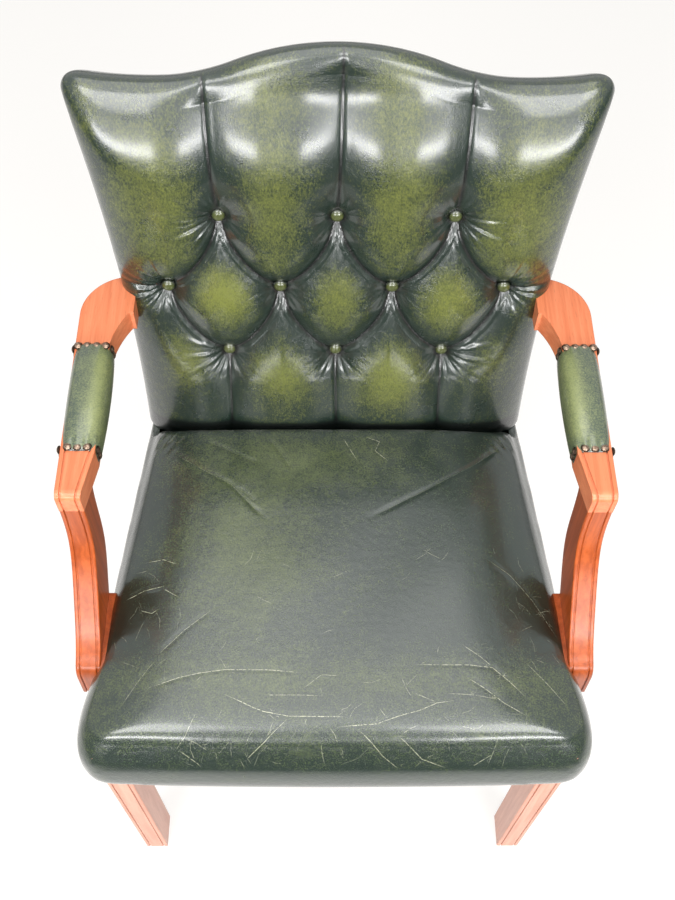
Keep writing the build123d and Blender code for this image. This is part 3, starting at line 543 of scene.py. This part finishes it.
def fold_shape(places):
    """Return how deep the folds lie at each place (to the fourth power), the shape of their edges and how much
    painted shade it gets near the bottom of a fold."""
    total = np.zeros(len(places))
    lines = np.zeros(len(places))
    painted_shade = np.zeros(len(places))
    marks = np.linspace(0, 1, 5)
    for line, depths, (over, under), sharp, above in fold_lines():
        gap, side, along = reach_of(line, places)
        gap = gap / MM
        upper = side * above > 0
        width = np.where(upper, over, under)
        total += (np.interp(along, marks, depths) * np.clip(1 - gap / width, 0, 1) ** 2.0) ** 4
        edge = np.interp(along, marks, sharp)
        ridge = np.where(upper, 0.1, 0.6) if above else np.where(side > 0, 0.05, 0.3)
        lines += edge * 0.6 * bell(gap, 0, GROOVE_WIDE)
        lines -= edge * ridge * bell(gap, RIDGE_AT, RIDGE_WIDE)
        if above:
            inside = ~upper & (along > 0.12) & (along < 0.93)
            lines += edge * inside * 0.45 * bell(gap, SECOND_AT, SECOND_WIDE)
            # Painted shade, light along the second groove and strong along the bottom of every fold
            painted_shade = np.maximum(painted_shade, inside * 0.18 * edge * bell(gap, SECOND_AT, 1.2))
        painted_shade = np.maximum(painted_shade, edge * bell(gap, 0, 1.7))
    return total, lines, painted_shade


# How deep a button pulls the leather in, and how far round it
PULL_DEPTH, PULL_REACH = 23, 64


def button_pull(places):
    """Return how deep the buttons pull the leather in, with the small wrinkles that run out from them."""
    pull = np.zeros(len(places))
    wrinkles = np.zeros(len(places))
    for number, (x, h) in enumerate(BUTTONS):
        dx, dh = places[:, 0] - x, places[:, 1] - h
        r = np.hypot(dx, dh) / MM
        angle = np.arctan2(dh, dx)
        pull = np.maximum(pull, PULL_DEPTH * np.clip(1 - r / PULL_REACH, 0, 1) ** 2.8)

        # The wrinkles are strongest below a button, and towards the edge at an outer button
        outward = np.clip(np.cos(angle - (0 if x > 0 else pi)) * (abs(x) > 100 * MM), 0, 1)
        downward = np.clip(-np.sin(angle), 0, 1) ** 2
        weight = 0.22 + 1.3 * outward ** 3 + 0.6 * downward
        waves = np.cos(17 * angle + 1.7 * number + 1.3 * np.sin(3 * angle + number))
        waves += 0.6 * np.cos(29 * angle + 2.9 * number)
        reach = 52 + 22 * outward
        strength = soft_step(r, 8, 15) * np.clip(1 - r / reach, 0, 1) ** 1.3
        wrinkles += weight * waves * strength
    return pull, wrinkles


# Patches of the back that are rubbed olive: across, height, half their width and height, and how much
RUBBED = ((-68, 345, 32, 96, .55), (66, 340, 34, 96, .62), (-72, 455, 30, 45, .5), (60, 450, 32, 45, .45),
          (-196, 330, 44, 110, .56), (198, 320, 46, 105, .6), (-130, 214, 30, 38, 1.05), (0, 210, 31, 40, .66),
          (130, 212, 32, 41, .85), (-66, 90, 32, 45, .78), (68, 86, 38, 48, .85), (-182, 112, 24, 44, .62),
          (190, 110, 22, 40, .35), (-252, 436, 14, 34, .3), (254, 436, 12, 34, .3), (0, 500, 200, 10, .2))

# The leather's lowest height behind the seat, and how far the whole face swells forward
BACK_FLOOR, FACE_SWELL = 443.9, 3.5


def buttoned_back():
    """Make the deep-buttoned back: pillows between folds, pulled in by ten buttons."""
    rings = [in_back_frame(back_outline(inset * MM), depth * MM) for depth, inset in BACK_ROLL]
    piece = new_piece("buttoned_back", *lofted(rings), BACK_HIDE, "leather")
    remake(piece, 3.3 * MM, 14)
    divide(piece, 1)
    points = points_of(piece)
    places = points[:, [0, 2]]

    # How much a point belongs to the face, and how freely it moves: not at all at the rear
    front = soft_step(-normals_of(piece)[:, 1], -0.15, 0.55) * (points[:, 1] < 45 * MM)
    ease = np.clip(1 - points[:, 1] / (50 * MM), 0, 1)

    # The face leans back under the crest and turns back at the sides
    rim = np.array(back_outline(0))
    climb = np.arange(520)
    lean = 0.34 * soft_step(climb, 335, 425) * (1 - 0.75 * soft_step(climb, 434, 470))
    side = np.interp(places[:, 1], rim[:SIDE_POINTS, 1], rim[:SIDE_POINTS, 0]) - np.abs(places[:, 0])
    turned = 13 * np.clip(1 - side / (105 * MM), 0, 1) ** 2 + 8 * np.clip(1 - side / (48 * MM), 0, 1) ** 2
    crown = (np.interp(places[:, 1] / MM, climb, np.cumsum(lean)) ** 3 + turned ** 3) ** (1 / 3)

    # Folds and buttons press the face in, less so near the edge
    total, lines, painted_shade = fold_shape(places)
    pull, wrinkles = button_pull(places)
    depth = (total + pull ** 4) ** 0.25
    edge = reach_of(rim, places)[0]
    body = depth * np.clip(edge / (26 * MM), 0.12, 1) + lines + wrinkles
    points[:, 1] += (ease * (crown - FACE_SWELL) + front * body) * MM

    # Colour: rubbed patches, and painted shade: black in the button pits, in the folds, darker in deep places,
    # and along the foot where the back meets the seat
    pit_shade = np.zeros(len(points))
    for x, h in BUTTONS:
        pit_shade = np.maximum(pit_shade, np.exp(-(np.hypot(places[:, 0] - x, places[:, 1] - h) / (9.5 * MM)) ** 4))
    rub = np.zeros(len(points))
    for x, h, wide, high, share in RUBBED:
        spread = ((places[:, 0] / MM - x) / wide) ** 2 + ((places[:, 1] / MM - h) / high) ** 2
        rub = np.maximum(rub, share * np.exp(-spread ** 1.1 * 0.8))
    put_values(piece, "rub", (0.06 + rub - 0.35 * np.clip(depth / 12, 0, 1) ** 2) * front)
    foot = bell(np.clip(places[:, 1], 0, None), 0, 9 * MM)
    dark = painted_shade + pit_shade * 0.95 + 0.3 * np.clip(depth / 18, 0, 1) ** 3 + foot
    put_values(piece, "painted_shade", np.clip(dark, 0, 1) * front)

    room = in_room(points)
    room[:, 2] = np.maximum(room[:, 2], BACK_FLOOR * MM)
    put_points(piece, room)
    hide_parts("back_cover", "back_foam")


def lathe(profile):
    """Return the points and faces of a turned form; profile lists (radius, rise), its ends on the axis."""
    count = 28
    points = [(0, 0, profile[0][1])]
    turns = np.linspace(0, 2 * pi, count, endpoint=False)
    for radius, rise in profile[1:-1]:
        points += [(radius * cos(a), radius * sin(a), rise) for a in turns]
    points.append((0, 0, profile[-1][1]))
    faces = []
    for i in range(count):
        j = (i + 1) % count
        faces.append((0, 1 + i, 1 + j))
        for ring in range(len(profile) - 3):
            a, b = 1 + ring * count, 1 + (ring + 1) * count
            faces.append((a + i, b + i, b + j, a + j))
        last = 1 + (len(profile) - 3) * count
        faces.append((last + i, len(points) - 1, last + j))
    return points, faces


def turned_group(name, profile, places, material, slot, shade):
    """Return one piece made of the same turned form at several places, each with its outward direction; the
    profile is in millimetres, and shade says how dark the rims are."""
    points, faces = lathe([(radius * MM, rise * MM) for radius, rise in profile])
    base = np.array(points)
    from_axis = np.hypot(base[:, 0], base[:, 1]) / (max(radius for radius, _ in profile) * MM)
    rim = np.clip((from_axis - 0.72) / 0.2, 0, 1)
    all_points, all_faces = [], []
    for place, outward in places:
        turn = np.array(Vector(outward).to_track_quat("Z", "Y").to_matrix())
        start = len(all_points)
        all_points += list(base @ turn.T + np.array(place))
        all_faces += [tuple(start + i for i in face) for face in faces]
    piece = new_piece(name, all_points, all_faces, material, slot)
    rims = np.tile(rim, len(places))
    # Painted shade darkens the rims, where a nail or button meets what it is set in; the tops are rubbed paler
    put_values(piece, "painted_shade", rims * shade)
    put_values(piece, "rub", 1.1 - rims)
    return piece


BUTTON_PROFILE = ((0, -2), (7.2, -2), (7.9, -0.6), (8, 0.8), (7.6, 2.2), (6.5, 3.4), (4.6, 4.5), (2.3, 5.2),
                  (0, 5.4))
BUTTON_DEPTH = 19.5


def back_buttons():
    """Make the ten leather-covered buttons, sunk between the pillows."""
    outward = (0, -cos(RECLINE), sin(RECLINE))
    seats = in_room(np.array([(x, BUTTON_DEPTH * MM, h) for x, h in BUTTONS]))
    places = [(seat, outward) for seat in seats]
    piece = turned_group("covered_buttons", BUTTON_PROFILE, places, BUTTON_HIDE, "leather", 0.35)
    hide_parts("back_buttons")


# Crowned seat

# The seat's plan: half its width at the front and at the rear, how far its front and its rear lie behind the
# front of the legs, how much its front bows out in the middle, and the radius of its corners. Above the shelf
# it ends at the back's face, below that it runs on to its rear.
SEAT_HALF, SEAT_REAR_HALF, SEAT_FRONT, SEAT_REAR, SEAT_BOW, SEAT_CORNER = 286.5, 240, -20, 485.5, 4, 29
SHELF_HEIGHT = 443

# The arm supports press the seat in: where their middle is, half their span, and how far out they stand
SUPPORT_MIDDLE, SUPPORT_SPAN, SUPPORT_WALL = 140, 43, 269.6

# The seat's edge: a height, then how far the outline is drawn in at the front, at the front of the sides and
# at their rear
SEAT_RISE = ((378, 12, 13, 5.5), (384, 8, 9, 3.5), (388, 6, 6, 2.4), (392, 5, 4, 1.5), (397, 4.6, 2, 0.8),
             (403, 5.2, 0.7, 0.3), (410, 6.4, 0, 0), (422, 8.9, 0, 0), (429, 11, 0.4, 0), (434, 13.2, 1.6, 0.6),
             (439, 15.8, 3.2, 2.2), (445, 19, 5.2, 4), (452, 23.2, 9, 7.5), (458, 27.2, 13.5, 11),
             (462, 30.2, 17.5, 14.5), (466, 33.8, 23, 20))

# Marks of use in the seat's leather: points across and back from the legs' front in millimetres, then
# how far the bare hide shows, which along the deep wrinkles is a faint painted highlight, and how deep the mark
# is pressed in
SEAT_MARKS = (
    (((-207, 68), (-175, 79), (-153, 84), (-125, 88), (-75, 88), (-41, 85)), 0.9, 0.3),
    (((-121, 59), (-107, 53), (-90, 45), (-79, 41), (-51, 36), (9, 35)), 1.0, 0.3),
    (((4, 25), (45, 28), (69, 36), (92, 42), (111, 50), (131, 53)), 0.8, 0.3),
    (((-235, 50), (-221, 74), (-209, 92), (-203, 99)), 0.45, 0.2),
    (((-199, 108), (-173, 135), (-143, 160)), 0.6, 0.2),
    (((-174, 6), (-164, 16), (-153, 39)), 0.5, 0),
    (((-171, 5), (-152, -5), (-141, -13)), 0.5, 0),
    (((-99, -3), (-78, 11), (-53, 33)), 0.7, 0),
    (((-79, 59), (-40, 59), (-18, 58)), 0.6, 0),
    (((-35, 67), (-25, 75), (-16, 82), (4, 81)), 0.5, 0),
    (((92, 94), (134, 94), (150, 94), (176, 91), (194, 75), (209, 59)), 0.9, 0.3),
    (((145, 117), (163, 104), (176, 92)), 0.6, 0),
    (((147, 79), (165, 67), (186, 50), (207, 38)), 0.8, 0.2),
    (((124, 61), (154, 59), (186, 53)), 0.6, 0),
    (((87, 61), (111, 51)), 0.6, 0),
    (((215, 98), (238, 73), (256, 51)), 0.5, 0),
    (((25, 22), (52, 0), (78, -14)), 0.6, 0),
    (((69, 16), (95, -2), (132, -11)), 0.6, 0),
    (((150, -8), (172, 2)), 0.5, 0),
    (((180, 227), (206, 208), (232, 176), (257, 134)), 0.4, 0.6),
    # Wrinkles over the rear: the faint pale hide along them is a painted highlight
    (((-202, 377), (-165, 352), (-129, 329), (-108, 305), (-84, 278)), 0.2, 0.8),
    (((-139, 332), (-112, 318), (-96, 300)), 0.1, 0.6),
    (((-163, 397), (-121, 374), (-93, 358)), 0.1, 0.8),
    (((-84, 400), (-67, 375), (-54, 352)), 0.1, 0.6),
    (((214, 392), (176, 361), (117, 324), (42, 281)), 0.12, 0.8),
    (((12, 398), (21, 379), (28, 365)), 0.8, 0.3),
    (((41, 402), (57, 395), (51, 380), (66, 365)), 0.7, 0.3),
    (((-243, 180), (-224, 188), (-201, 192)), 1.0, 0.8),
    (((-200, 188), (-184, 178)), 0.8, 0.3),
    (((-224, 225), (-204, 227), (-188, 220)), 0.8, 0.8),
    (((-226, 163), (-212, 158), (-205, 163)), 0.7, 0.3),
)


def fine_scratches():
    """Return many short fine scratches in the form of SEAT_MARKS: 80 over the front edge, 35 over the rest of
    the front half and 25 at the arm supports."""
    chance = np.random.default_rng(11)
    marks = []
    for number in range(140):
        if number < 80:
            middle = chance.uniform((-170, -22), (235, 48))
        elif number < 115:
            middle = chance.uniform((-230, 60), (230, 240))
        else:
            middle = np.array((chance.choice((-1, 1)) * chance.uniform(200, 255), chance.uniform(95, 215)))
        turn = chance.uniform(0, pi)
        half = chance.uniform(5, 26) / 2
        bend = chance.uniform(-0.25, 0.25)
        along = np.array((cos(turn), sin(turn)))
        beside = np.array((-along[1], along[0])) * bend * half
        line = (middle - along * half, middle + beside, middle + along * half)
        marks.append((line, chance.uniform(0.1, 0.4), 0))
    return tuple(marks)


def marked(places, marks):
    """Return for each place how far the bare hide shows, how far it lies across its nearest crack
    and how deep it is pressed in."""
    scar_and_highlight = np.zeros(len(places))
    across = np.zeros(len(places))
    pressed = np.zeros(len(places))
    for line, share, depth in marks:
        line = np.array(line, dtype=float)
        low, high = line.min(axis=0) - 12, line.max(axis=0) + 12
        near = np.nonzero(((places > low) & (places < high)).all(axis=1))[0]
        gap, side, along = reach_of(line, places[near])
        ends = np.clip(np.minimum(along, 1 - along) * 8, 0.2, 1)
        band = bell(gap, 0, 2.5)
        shown = share * ends * band
        nearer = shown > scar_and_highlight[near]
        scar_and_highlight[near[nearer]] = shown[nearer]
        across[near[nearer]] = (side * gap * band)[nearer]
        pressed[near] = np.maximum(pressed[near], depth * ends * bell(gap, 0, 3.6))
    return scar_and_highlight, across, pressed


def face_of_back(height):
    """Return how far behind the front of the legs the back's face stands at a height, less a narrow gap."""
    return MEET_DEPTH + (height - MEET_HEIGHT) * tan(RECLINE) - 0.6


def seat_outline(height, front_in, side_front_in, side_rear_in):
    """Return the seat's outline at a height, in metres in the room's frame."""
    corner = SEAT_CORNER
    half = SEAT_HALF - side_front_in
    rear_half = SEAT_REAR_HALF - side_rear_in
    rear = SEAT_REAR if height < SHELF_HEIGHT else face_of_back(height)
    front = SEAT_FRONT + front_in
    bend = corner * (1 - cos(radians(45)))
    bow = arc((corner - half, front), (0, front - SEAT_BOW), (half - corner, front), 60)
    right = arc((half - corner, front), (half - bend, front + bend), (half, front + corner), 10)
    shares = np.linspace(0, 1, 60, endpoint=False)
    side = [(half + (rear_half - half) * t, front + corner + (rear - front - corner) * t) for t in shares]
    end = [(rear_half * (1 - 2 * t), rear) for t in shares]
    side_back = [(-x, y) for x, y in side[::-1]]
    left = [(-x, y) for x, y in right[::-1]]
    return [(x * MM, LEG_FRONT + y * MM, height * MM) for x, y in
            bow + right + side + end + [(-rear_half, rear)] + side_back + left[:-1]]


# The seat's crown: its height, and how sharp the hips are that run from it to the front corners
DOME_HEIGHT, HIP = 13, 13


def crowned(x, y, z, upper):
    """Return across and height of the seat's points with a domed top, fuller front corners and uneven hide."""
    reach = np.clip(np.abs(x) / SEAT_HALF, 0, 1)
    to_front = y - SEAT_FRONT + SEAT_BOW * (1 - reach ** 2)
    to_side = SEAT_HALF - (SEAT_HALF - SEAT_REAR_HALF) * np.clip((y - 5) / 420, 0, 1) - np.abs(x)
    rise_front = 1 - np.clip(1 - (to_front - 31) / 66, 0, 1) ** 2.8
    rise_side = 1 - np.clip(1 - (to_side - 19) / 125, 0, 1) ** 2
    dome = -np.log(np.exp(-HIP * rise_front) + np.exp(-HIP * rise_side)) / HIP
    dome = np.clip(dome, 0, 1) * (1 - 0.5 * soft_step(y, 290, 430))
    x = x + np.sign(x) * 6.5 * bell(y, 48, 46) * soft_step(np.abs(x), 120, 280)
    sway = np.sin(x / 47 + 0.7) * np.sin(y / 61 + 1.1) + 0.6 * np.sin(x / 27 - y / 39 + 2.0)
    return x, z + DOME_HEIGHT * dome * upper + 0.55 * sway * upper * np.clip(to_front / 80, 0, 1)


def pressed_by_supports(x, y, z):
    """Return across and height of the seat's points, pressed in by the arm supports and crumpled there."""
    # The supports' inner faces lean in by 4.5 mm over a height of 186 mm
    span = np.exp(-((y - SUPPORT_MIDDLE) / SUPPORT_SPAN) ** 10)
    wall = SUPPORT_WALL - (z - 446) / 186 * 4.5
    over = np.clip(np.abs(x) - wall + 6 * span, 0, None) * soft_step(z, 378, 400)
    x = np.sign(x) * (np.abs(x) - over * span)
    crumple = bell(y, 116, 15) + bell(y, 178, 17) + 1.4 * bell(y, 147, 20)
    return x, z - 2.4 * crumple * soft_step(np.abs(x), 205, 262) * soft_step(z, 440, 462)


# The skin is held still below the first height while the seat swells, and is tucked down to the second
# under the back
BORDER_HEIGHT, TUCKED_HEIGHT = 432, 443.2


def crowned_seat():
    """Make the seat: a crowned top with a hip to each front corner and an upright border, pressed in by the
    arm supports."""
    rings = [seat_outline(*ring) for ring in SEAT_RISE]
    piece = new_piece("crowned_seat", *lofted(rings), SEAT_HIDE, "leather")
    remake(piece, 6.0 * MM, 3)
    points = points_of(piece)
    y = (points[:, 1] - LEG_FRONT) / MM
    pressed_in = (np.abs(y - SUPPORT_MIDDLE) < 50) & (np.abs(points[:, 0]) > 245 * MM)
    puff(piece, (points[:, 2] < BORDER_HEIGHT * MM) | (y > 395) | pressed_in, 2 * MM, 20)
    divide(piece, 2)

    points = points_of(piece)
    x, y, z = points[:, 0] / MM, (points[:, 1] - LEG_FRONT) / MM, points[:, 2] / MM
    upper = soft_step(z, 454, 466)
    x, z = crowned(x, y, z, upper)
    x, z = pressed_by_supports(x, y, z)

    # Gathers at the rear corners, and the rear edge rolled down and tucked under the back
    gathers = np.cos((np.abs(x) * 0.8 + y * 0.6 - 400) * 2 * pi / 11) * bell(np.abs(x), 222, 22)
    z = z + 0.7 * gathers * bell(y, 404, 22) * upper
    plane = face_of_back(z)
    z = z - 8 * bell(np.clip(plane - y, 0, None), 0, 8) * upper
    under = (y > plane + 3.5) & (z > 430)
    z = np.where(under, np.minimum(z, TUCKED_HEIGHT), z)
    y = np.where((y > plane) & ~under & (z > 440), plane, y)

    scar_and_highlight, across, pressed = marked(np.column_stack([x, y]), SEAT_MARKS + fine_scratches())
    face = soft_step(z, 434, 441)
    z = z - pressed * face
    put_points(piece, np.column_stack([x * MM, LEG_FRONT + y * MM, z * MM]))

    # Rubbed where it is sat on and over its front. Painted shade where it meets the back and where the arm
    # supports press it in; there it is also rubbed less olive, which adds to that painted shade.
    top = soft_step(z, 452, 468)
    rub = 0.5 * bell(x, -105, 95) * bell(y, 235, 120) + 0.15 * bell(y, 20, 28)
    rub += 0.4 * bell(x, -40, 150) * bell(y, 372, 50) + 0.3 * bell(y, 75, 30)
    put_values(piece, "rub", rub - 0.25 * bell(np.abs(x), 262, 40) * bell(y, 150, 38))
    support_shade = 0.55 * bell(np.abs(x), 256, 22) * bell(y, 150, 30)
    put_values(piece, "painted_shade", np.clip((0.95 * bell(y, plane, 10) + support_shade) * top, 0, 1))
    put_values(piece, "scar_and_highlight", scar_and_highlight * face)
    put_values(piece, "across", across)
    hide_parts("seat_cover", "seat_foam")


# Arm pads and nails

# The pads: where they begin and end behind the front of the legs, their inner edge, and the height at which
# they are widest; then the spacing of their nails
PAD_FRONT, PAD_REAR, PAD_INNER, PAD_HEIGHT = 260.5, 405, 254.5, 648.5
NAIL_PITCH = 10.25

# Radius and rise of a nail, from its shank under the leather to the top of its dome
NAIL_PROFILE = ((0, -5), (0.7, -4.6), (0.9, -0.2), (4.2, -0.2), (4.9, 0.1), (5.0, 0.6), (4.6, 1.3), (3.7, 2.2),
                (2.4, 2.9), (1.1, 3.2), (0, 3.3))


def arm_outer(y):
    """Return how far out the arm's outer edge is at a distance behind the front of the legs: it runs out by
    3 mm over 244 mm."""
    return 292 + 3 * (y - 205) / 244


def arm_pad(side, name):
    """Make the leather pad on one arm, crowned on top and drawn in under its nails."""
    rings = []
    for share in np.linspace(0, 1, 41):
        y = PAD_FRONT + (PAD_REAR - PAD_FRONT) * share
        swell = np.clip(np.sin(pi * share), 0, 1) ** 0.55
        inner, outer = PAD_INNER - 4.6 * swell, arm_outer(y) + 1.5 + 0.8 * swell
        middle, half = (inner + outer) / 2, (outer - inner) / 2
        ring = []
        for turn in np.linspace(0, 2 * pi, 64, endpoint=False):
            c, s = cos(turn), sin(turn)
            wide = np.sign(c) * abs(c) ** (0.42 if s < 0 else 0.62)
            up = np.sign(s) * abs(s) ** (0.42 if s < 0 else 0.8)
            z = PAD_HEIGHT + (15.0 + 9.5 * swell if s > 0 else 14.6) * up
            ring.append((side * (middle + half * wide) * MM, LEG_FRONT + y * MM, z * MM))
        rings.append(ring[::-1] if side > 0 else ring)
    piece = new_piece("arm_pad_" + name, *lofted(rings), PAD_HIDE, "leather")
    remake(piece, 3.2 * MM, 3)
    points = points_of(piece)
    y = (points[:, 1] - LEG_FRONT) / MM
    puff(piece, (y < 268) | (y > 397) | (points[:, 2] < 640 * MM), 2.5 * MM)
    divide(piece, 1)

    # Small gathers between the nails
    points = points_of(piece)
    x, y = np.abs(points[:, 0]) / MM, (points[:, 1] - LEG_FRONT) / MM
    end = np.minimum(y - PAD_FRONT, PAD_REAR - y)
    gather = np.cos((x - PAD_INNER) * 2 * pi / NAIL_PITCH) * bell(end, 9, 7)
    points[:, 2] += 0.6 * gather * soft_step(points[:, 2], 655 * MM, 662 * MM) * MM
    put_points(piece, points)
    # Rubbed olive along the inner edge, and painted shade at both ends, where the leather turns down under the
    # nails
    put_values(piece, "rub", 0.7 * bell(x, 260, 10) * soft_step(end, 0, 30) + 0.35)
    put_values(piece, "painted_shade", 0.7 * bell(end, 0, 3))
    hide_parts("arm_pad_cover_" + name, "arm_pad_stuffing_" + name)


def pad_nails(side, name):
    """Make the domed nails of one pad: a row over the arm at each end, and two down each side."""
    places = []
    for y, count in ((265.5, 3), (400, 4)):
        middle = (256 + arm_outer(y)) / 2
        for step in range(count):
            places.append(((middle + (step - (count - 1) / 2) * NAIL_PITCH, y, 663.6), (0, 0, 1)))
        for step in range(2):
            z = 657 - step * NAIL_PITCH
            places.append(((254.4, y, z), (-side, 0, 0)))
            places.append(((arm_outer(y) + 1.6, y, z), (side, -0.024, 0)))
    placed = [((side * x * MM, LEG_FRONT + y * MM, z * MM), outward) for (x, y, z), outward in places]
    piece = turned_group("pad_nails_" + name, NAIL_PROFILE, placed, NAIL_BRASS, "nail_brass", 0.9)
    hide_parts("arm_nails_" + name)


# Leather panel of the rear, and the pieces that are carried over

def rear_panel():
    """Make the leather panel of the rear of the back, drawn tight over its frame."""
    outline = back_outline(16.2 * MM, low=-9 * MM)
    rings = [in_back_frame(outline, depth * MM) for depth in (61.4, 62.9)]
    piece = new_piece("rear_panel", *lofted(rings), PANEL_HIDE, "leather")
    put_points(piece, in_room(points_of(piece)))
    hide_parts("back_rear_panel")


def dress_frame():
    """Give every piece that is carried over from the model its own material."""
    # Each material, then how the names of its pieces begin. The screws of the arm supports, hidden inside the
    # seat, begin like the supports and look like them.
    finish = (
        (WOOD_LEG_LIT, ("front_leg",)),
        (WOOD_UP, ("rear_leg", "arm_support")),
        (WOOD_LEVEL_LIT, ("arm_right", "arm_left")),
        (BEECH_ACROSS, ("front_rail", "rear_rail", "back_top_rail", "back_lower_rail")),
        (BEECH_LEVEL, ("side_rail", "front_corner_block", "rear_corner_block", "seat_dowels", "back_dowels",
                       "arm_dowels")),
        (SCREW_STEEL, ("corner_block_screws", "arm_screws")),
        (JUTE, ("seat_webbing", "seat_cross_webbing", "back_webbing", "back_cross_webbing", "button_ties")),
        (HESSIAN, ("seat_hessian", "back_hessian")),
        (LINING, ("dust_cloth",)),
        (FOAM, ("seat_foam", "back_foam", "arm_pad_stuffing")),
        (SEAT_HIDE, ("seat_cover",)),
        (BACK_HIDE, ("back_cover",)),
        (PANEL_HIDE, ("back_rear_panel",)),
        (PAD_HIDE, ("arm_pad_cover",)),
        (BUTTON_HIDE, ("back_buttons",)),
        (NAIL_BRASS, ("arm_nails",)),
    )
    for name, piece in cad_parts.items():
        material = next(material for material, starts in finish if name.startswith(starts))
        piece.data.materials.clear()
        piece.data.materials.append(material)


# Studio

# What the world gives off where neither the camera nor a reflection looks at it
WORLD_FILL = 0.22

# The camera's lens in millimetres, and how it is turned down, aside and about its own axis, as solved from
# the photograph
LENS = 42.23
PITCH, YAW, ROLL = radians(57.66), radians(-1.26), radians(1.23)


def white_world():
    """Make the white surroundings, which reflections see darker near the floor."""
    world = bpy.data.worlds.new("white_studio")
    bpy.context.scene.world = world
    world.use_nodes = True
    tree = world.node_tree
    tree.nodes.clear()
    ray = add(tree, "ShaderNodeLightPath")
    mirrored = maths(tree, "MAXIMUM", ray.outputs["Is Glossy Ray"], ray.outputs["Is Transmission Ray"])
    generated = add(tree, "ShaderNodeTexCoord").outputs["Generated"]
    rise = add(tree, "ShaderNodeSeparateXYZ", {0: generated}).outputs[2]
    sky = maths(tree, "ADD", steps(tree, rise, 0.08, 0.25), 0.1)
    direct = maths(tree, "MAXIMUM", ray.outputs["Is Camera Ray"], maths(tree, "MULTIPLY", mirrored, sky))
    level = maths(tree, "ADD", maths(tree, "MULTIPLY", direct, 1 - WORLD_FILL), WORLD_FILL)
    light = add(tree, "ShaderNodeBackground", {"Color": tone("FFFFFF"), "Strength": level})
    output = tree.nodes.new("ShaderNodeOutputWorld")
    tree.links.new(light.outputs[0], output.inputs[0])


def soft_lamp(name, place, aim, width, height, power):
    """Add a soft box that looks at a point."""
    data = bpy.data.lights.new(name, "AREA")
    data.shape = "RECTANGLE"
    data.size, data.size_y = width, height
    data.energy = power
    lamp = bpy.data.objects.new(name, data)
    bpy.context.scene.collection.objects.link(lamp)
    lamp.location = place
    lamp.rotation_euler = (Vector(aim) - Vector(place)).to_track_quat("-Z", "Y").to_euler()


def photo_camera():
    """Put the camera at the photograph's place."""
    camera = bpy.data.objects.new("camera", bpy.data.cameras.new("camera"))
    bpy.context.scene.collection.objects.link(camera)
    camera.data.lens = LENS
    swing = np.array(((cos(YAW), -sin(YAW), 0), (sin(YAW), cos(YAW), 0), (0, 0, 1)))
    forward = swing @ np.array((0, cos(PITCH), -sin(PITCH)))
    up = swing @ np.array((0, sin(PITCH), cos(PITCH)))
    right = swing @ np.array((1.0, 0, 0))
    right, up = right * cos(ROLL) + up * sin(ROLL), up * cos(ROLL) - right * sin(ROLL)
    turn = Matrix(np.column_stack([right, up, -forward]).tolist()).to_4x4()
    camera.matrix_world = Matrix.Translation((-12.5 * MM, LEG_FRONT - 335.4 * MM, 1607.95 * MM)) @ turn
    bpy.context.scene.camera = camera


def studio():
    """Make the white floor, the surroundings, the soft lights and the camera."""
    ground = new_piece("floor", [(-9, -9, 0), (9, -9, 0), (9, 9, 0), (-9, 9, 0)], [(0, 1, 2, 3)],
                       white_ground("white_paper_floor"))
    white_world()
    for side, name in ((-1, "left"), (1, "right")):
        soft_lamp("window_" + name, (side * 1.25, -3.3, 1.42), (side * 0.2, 0.2, 0.87), 1.3, 0.5, 52)
        soft_lamp("front_soft_box_" + name, (side * 0.74, -1.33, 2.18), (side * 0.2, -0.3, 0.47), 0.8, 0.8, 21)
    soft_lamp("ceiling_soft_box", (-0.15, -0.1, 2.9), (-0.15, -0.1, 0), 1.7, 2.4, 32)
    photo_camera()
    bpy.context.scene.view_settings.view_transform = "Standard"


dress_frame()
buttoned_back()
back_buttons()
crowned_seat()
for side, name in ((1, "right"), (-1, "left")):
    arm_pad(side, name)
    pad_nails(side, name)
rear_panel()
studio()
